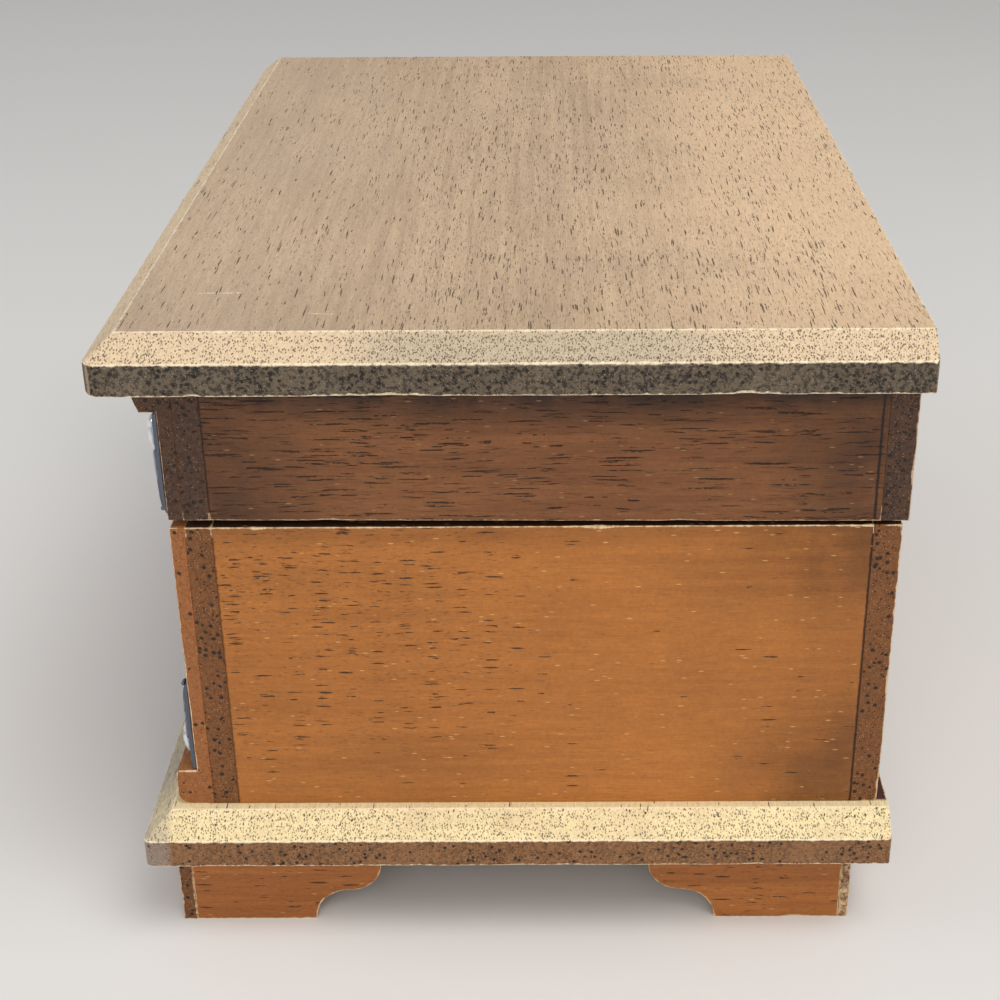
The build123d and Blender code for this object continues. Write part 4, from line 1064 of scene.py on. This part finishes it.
def repeatTree(name, material):
    tree = bpy.data.node_groups.new(name, "GeometryNodeTree")
    face = tree.interface
    face.new_socket("Geometry", in_out="INPUT", socket_type="NodeSocketGeometry")
    for label in ("Spacing", "Length", "Width", "Lean"):
        face.new_socket(label, in_out="INPUT", socket_type="NodeSocketFloat")
    face.new_socket("Geometry", in_out="OUTPUT", socket_type="NodeSocketGeometry")
    start, stop = tree.nodes.new("NodeGroupInput"), tree.nodes.new("NodeGroupOutput")
    join = tree.links.new
    spaced = tree.nodes.new("GeometryNodeResampleCurve")
    spaced.mode = "LENGTH"
    join(start.outputs["Geometry"], spaced.inputs["Curve"])
    join(start.outputs["Spacing"], spaced.inputs["Length"])
    bead = tree.nodes.new("GeometryNodeMeshUVSphere")
    bead.inputs["Segments"].default_value = 8
    bead.inputs["Rings"].default_value = 6
    bead.inputs["Radius"].default_value = 1
    size = tree.nodes.new("ShaderNodeCombineXYZ")
    join(start.outputs["Length"], size.inputs[0])
    join(start.outputs["Width"], size.inputs[1])
    join(start.outputs["Width"], size.inputs[2])
    tangent = tree.nodes.new("GeometryNodeInputTangent")
    aim = tree.nodes.new("FunctionNodeAlignRotationToVector")
    aim.axis = "X"
    join(tangent.outputs[0], aim.inputs["Vector"])
    tilt = tree.nodes.new("ShaderNodeCombineXYZ")
    join(start.outputs["Lean"], tilt.inputs[2])
    lean = tree.nodes.new("FunctionNodeRotateRotation")
    lean.rotation_space = "LOCAL"
    join(aim.outputs[0], lean.inputs[0])
    join(tilt.outputs[0], lean.inputs[1])
    copies = tree.nodes.new("GeometryNodeInstanceOnPoints")
    join(spaced.outputs[0], copies.inputs["Points"])
    join(bead.outputs["Mesh"], copies.inputs["Instance"])
    join(lean.outputs[0], copies.inputs["Rotation"])
    join(size.outputs[0], copies.inputs["Scale"])
    real = tree.nodes.new("GeometryNodeRealizeInstances")
    join(copies.outputs[0], real.inputs[0])
    smooth = tree.nodes.new("GeometryNodeSetShadeSmooth")
    join(real.outputs[0], smooth.inputs[0])
    paint = tree.nodes.new("GeometryNodeSetMaterial")
    paint.inputs["Material"].default_value = material
    join(smooth.outputs[0], paint.inputs[0])
    join(paint.outputs[0], stop.inputs[0])
    return tree


def alongPaths(name, paths, closed, sizes, material, body):
    curve = bpy.data.curves.new(name + "Path", "CURVE")
    curve.dimensions = "3D"
    for path in paths:
        spline = curve.splines.new("POLY")
        spline.points.add(len(path) - 1)
        for point, place in zip(spline.points, path):
            point.co = (*place, 1)
        spline.use_cyclic_u = closed
    guide = link(bpy.data.objects.new(name + "Path", curve))
    tree = repeatTree(name + "Tree", material)
    change = guide.modifiers.new("repeat", "NODES")
    change.node_group = tree
    for item in tree.interface.items_tree:
        if item.in_out == "INPUT" and item.name in sizes:
            change[item.identifier] = float(sizes[item.name])
    data = bpy.data.meshes.new_from_object(guide.evaluated_get(bpy.context.evaluated_depsgraph_get()))
    guide.modifiers.clear()
    bpy.data.objects.remove(guide)
    piece = link(bpy.data.objects.new(name, data))
    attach(piece, body)
    return piece


def roundedLoop(low, high, radius, height):
    # A closed path at one height, clockwise corners rounded
    path = []
    for index, (x, y) in enumerate(
        ((high[0], low[1]), (high[0], high[1]), (low[0], high[1]), (low[0], low[1]))
    ):
        cx = x - radius if x == high[0] else x + radius
        cy = y - radius if y == high[1] else y + radius
        for turn in range(5):
            angle = math.radians(-90 + 90 * index + 22.5 * turn)
            path.append((cx + radius * math.cos(angle), cy + radius * math.sin(angle), height))
    return path


pads = {
    # In millimetres: the remesh, the shrink before it swells, and the cap on the swelling
    "ringRoll": {"voxel": 1.9, "shrink": 0.45, "cap": 1.1, "fill": 0.75},
    "floorPad": {"voxel": 2.2, "shrink": 0.3, "cap": 1.3, "fill": 0.6},
    "mirrorSurround": {"voxel": 2.4, "shrink": 0.3, "cap": 1.0, "fill": 0.6},
}


swelling = {"pressure": 4, "frames": 20, "quality": 5, "tension": 8}


def mergedCopy(node):
    mesh = bmesh.new()
    mesh.from_mesh(frame["nodes"][node].data)
    bmesh.ops.remove_doubles(mesh, verts=mesh.verts, dist=2e-6)
    bmesh.ops.dissolve_limit(mesh, angle_limit=math.radians(0.5), verts=mesh.verts, edges=mesh.edges)
    bmesh.ops.triangulate(mesh, faces=[face for face in mesh.faces if len(face.verts) > 4])
    return mesh


def makePad(name, node, kind, material):
    look = pads[kind]
    low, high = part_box(node)
    piece = meshObject(name, mergedCopy(node), material)
    change = piece.modifiers.new("remesh", "REMESH")
    change.mode = "VOXEL"
    change.voxel_size = look["voxel"] * mm
    applyModifiers(piece)
    piece.data.materials.clear()
    piece.data.materials.append(material)
    middle, half = (low + high) / 2, (high - low) / 2
    shrink = look["shrink"] * mm
    for vert in piece.data.vertices:
        for k in range(3):
            vert.co[k] = middle[k] + (vert.co[k] - middle[k]) * (half[k] - shrink) / half[k]
    rest = [vert.co.copy() for vert in piece.data.vertices]
    cloth = piece.modifiers.new("cloth", "CLOTH")
    cloth.settings.use_pressure = True
    cloth.settings.uniform_pressure_force = swelling["pressure"]
    cloth.settings.effector_weights.gravity = 0
    cloth.settings.quality = swelling["quality"]
    cloth.settings.tension_stiffness = swelling["tension"]
    cloth.point_cache.frame_start = 1
    cloth.point_cache.frame_end = swelling["frames"]
    for step in range(1, swelling["frames"] + 1):
        bpy.context.scene.frame_set(step)
        bpy.context.view_layer.update()
    moved = piece.evaluated_get(bpy.context.evaluated_depsgraph_get())
    swollen = [vert.co.copy() for vert in moved.data.vertices]
    piece.modifiers.clear()
    bpy.context.scene.frame_set(1)
    cap = look["cap"] * mm
    for vert, start, end in zip(piece.data.vertices, rest, swollen):
        move = end - start
        if move.length > cap:
            move *= cap / move.length
        vert.co = start + move
    for vert in piece.data.vertices:  # inside the room that the CAD solid holds
        spot = vert.co
        pucker = 0.16 * noise.noise(spot / mm * 0.16) * mm
        for k in range(3):
            spot[k] = min(max(spot[k] + (pucker if k == 2 else 0), low[k] + 0.02 * mm), high[k] - 0.02 * mm)
    smooth = piece.modifiers.new("smooth", "SUBSURF")
    smooth.levels = smooth.render_levels = 1
    applyModifiers(piece)
    for face in piece.data.polygons:
        face.use_smooth = True
    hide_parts(node)
    rideWith(piece, node)
    return piece


def coveredBoard(name, node, material, edge=0.45):
    piece = meshObject(name, mergedCopy(node), material)
    change = piece.modifiers.new("edge", "BEVEL")
    change.width = edge * mm
    change.segments = 3
    change.limit_method = "ANGLE"
    change.angle_limit = math.radians(40)
    applyModifiers(piece)
    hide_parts(node)
    rideWith(piece, node)
    return piece


def makeInside():
    velvet = clothMaterial("liningVelvet", (0.215, 0.018, 0.032), (0.085, 0.006, 0.012), 0.12, 0.6)
    satin = clothMaterial("cushionVelvet", (0.27, 0.024, 0.040), (0.115, 0.008, 0.016), 0.10, 0.7)
    felt = clothMaterial("bumperFelt", (0.05, 0.085, 0.05), (0.02, 0.04, 0.022), 0.2, 0.3)
    braid = clothMaterial("gimpBraid", (0.58, 0.42, 0.16), (0.34, 0.22, 0.075), 0.08, 0.3)
    metals = {name: metalMaterial(name) for name in metalLooks}
    for name, node in (
        ("wallLining", "wall_lining"),
        ("lidWallLining", "lid_wall_lining"),
        ("crossDivider", "divider_cross"),
        ("musicDivider", "divider_music"),
        ("ringDivider", "divider_ring"),
        ("ringPlatform", "ring_platform"),
    ):
        coveredBoard(name, node, velvet)
    print("linings")
    for number in range(1, 6):
        makePad(f"ringRoll{number}", f"ring_cushion_{number}", "ringRoll", satin)
    makePad("braceletPad", "floor_pad_bracelet", "floorPad", satin)
    makePad("smallPad", "floor_pad_small", "floorPad", satin)
    makePad("mirrorSurround", "lid_mirror_surround", "mirrorSurround", satin)
    print("cushions")
    slots = {
        "brass": metals["brass"],
        "steel": metals["steel"],
        "cast_metal": metals["castMetal"],
        "dark_plastic": plasticMaterial(),
        "felt": felt,
        "mirror": mirrorMaterial(),
        "clear_plastic": clearMaterial(),
    }
    for node in frame["nodes"].values():
        for k, old in enumerate(node.data.materials):
            if old and old.name in slots:
                node.data.materials[k] = slots[old.name]
    beads = {"lid": [], "case": []}
    for node, body in (
        ("lid_ornament_left", "lid"),
        ("lid_ornament_right", "lid"),
        ("body_ornament_left", "case"),
        ("body_ornament_right", "case"),
    ):
        name = "".join(part.capitalize() for part in node.replace("ornament", "mount").split("_"))
        beads[body].append(makeMount(name[0].lower() + name[1:], node, metals["mountSilver"]))
    beadSizes = {"Spacing": 1.0 * mm, "Length": 0.42 * mm, "Width": 0.42 * mm, "Lean": 0}
    alongPaths(
        "lidMountBeads", beads["lid"], False, beadSizes, metals["mountSilver"], "lid"
    )
    alongPaths(
        "bodyMountBeads", beads["case"], False, beadSizes, metals["mountSilver"], "case"
    )
    print("corner mounts")
    gimp = {"Spacing": 1.15 * mm, "Length": 1.0 * mm, "Width": 0.5 * mm, "Lean": 0.7}
    low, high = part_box("lid_mirror_surround")
    glassLow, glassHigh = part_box("lid_mirror")
    inset = 1.5 * mm
    window = ((glassLow.x + inset, glassLow.y + inset), (glassHigh.x - inset, glassHigh.y - inset))
    alongPaths(
        "mirrorGimp", [roundedLoop(*window, 2 * mm, low.z + 1.2 * mm)], True, gimp, braid, "lid"
    )
    low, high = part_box("wall_lining")
    inner = 0.7 * mm
    room = ((-high.x + inner, low.y + inner), (high.x - inner, high.y - inner))
    alongPaths(
        "liningGimp", [roundedLoop(*room, 0.8 * mm, high.z + 0.2 * mm)], True, gimp, braid, "case"
    )
    print("braids")


makeCamera()
makeStudio()
makeWood()
makeInside()
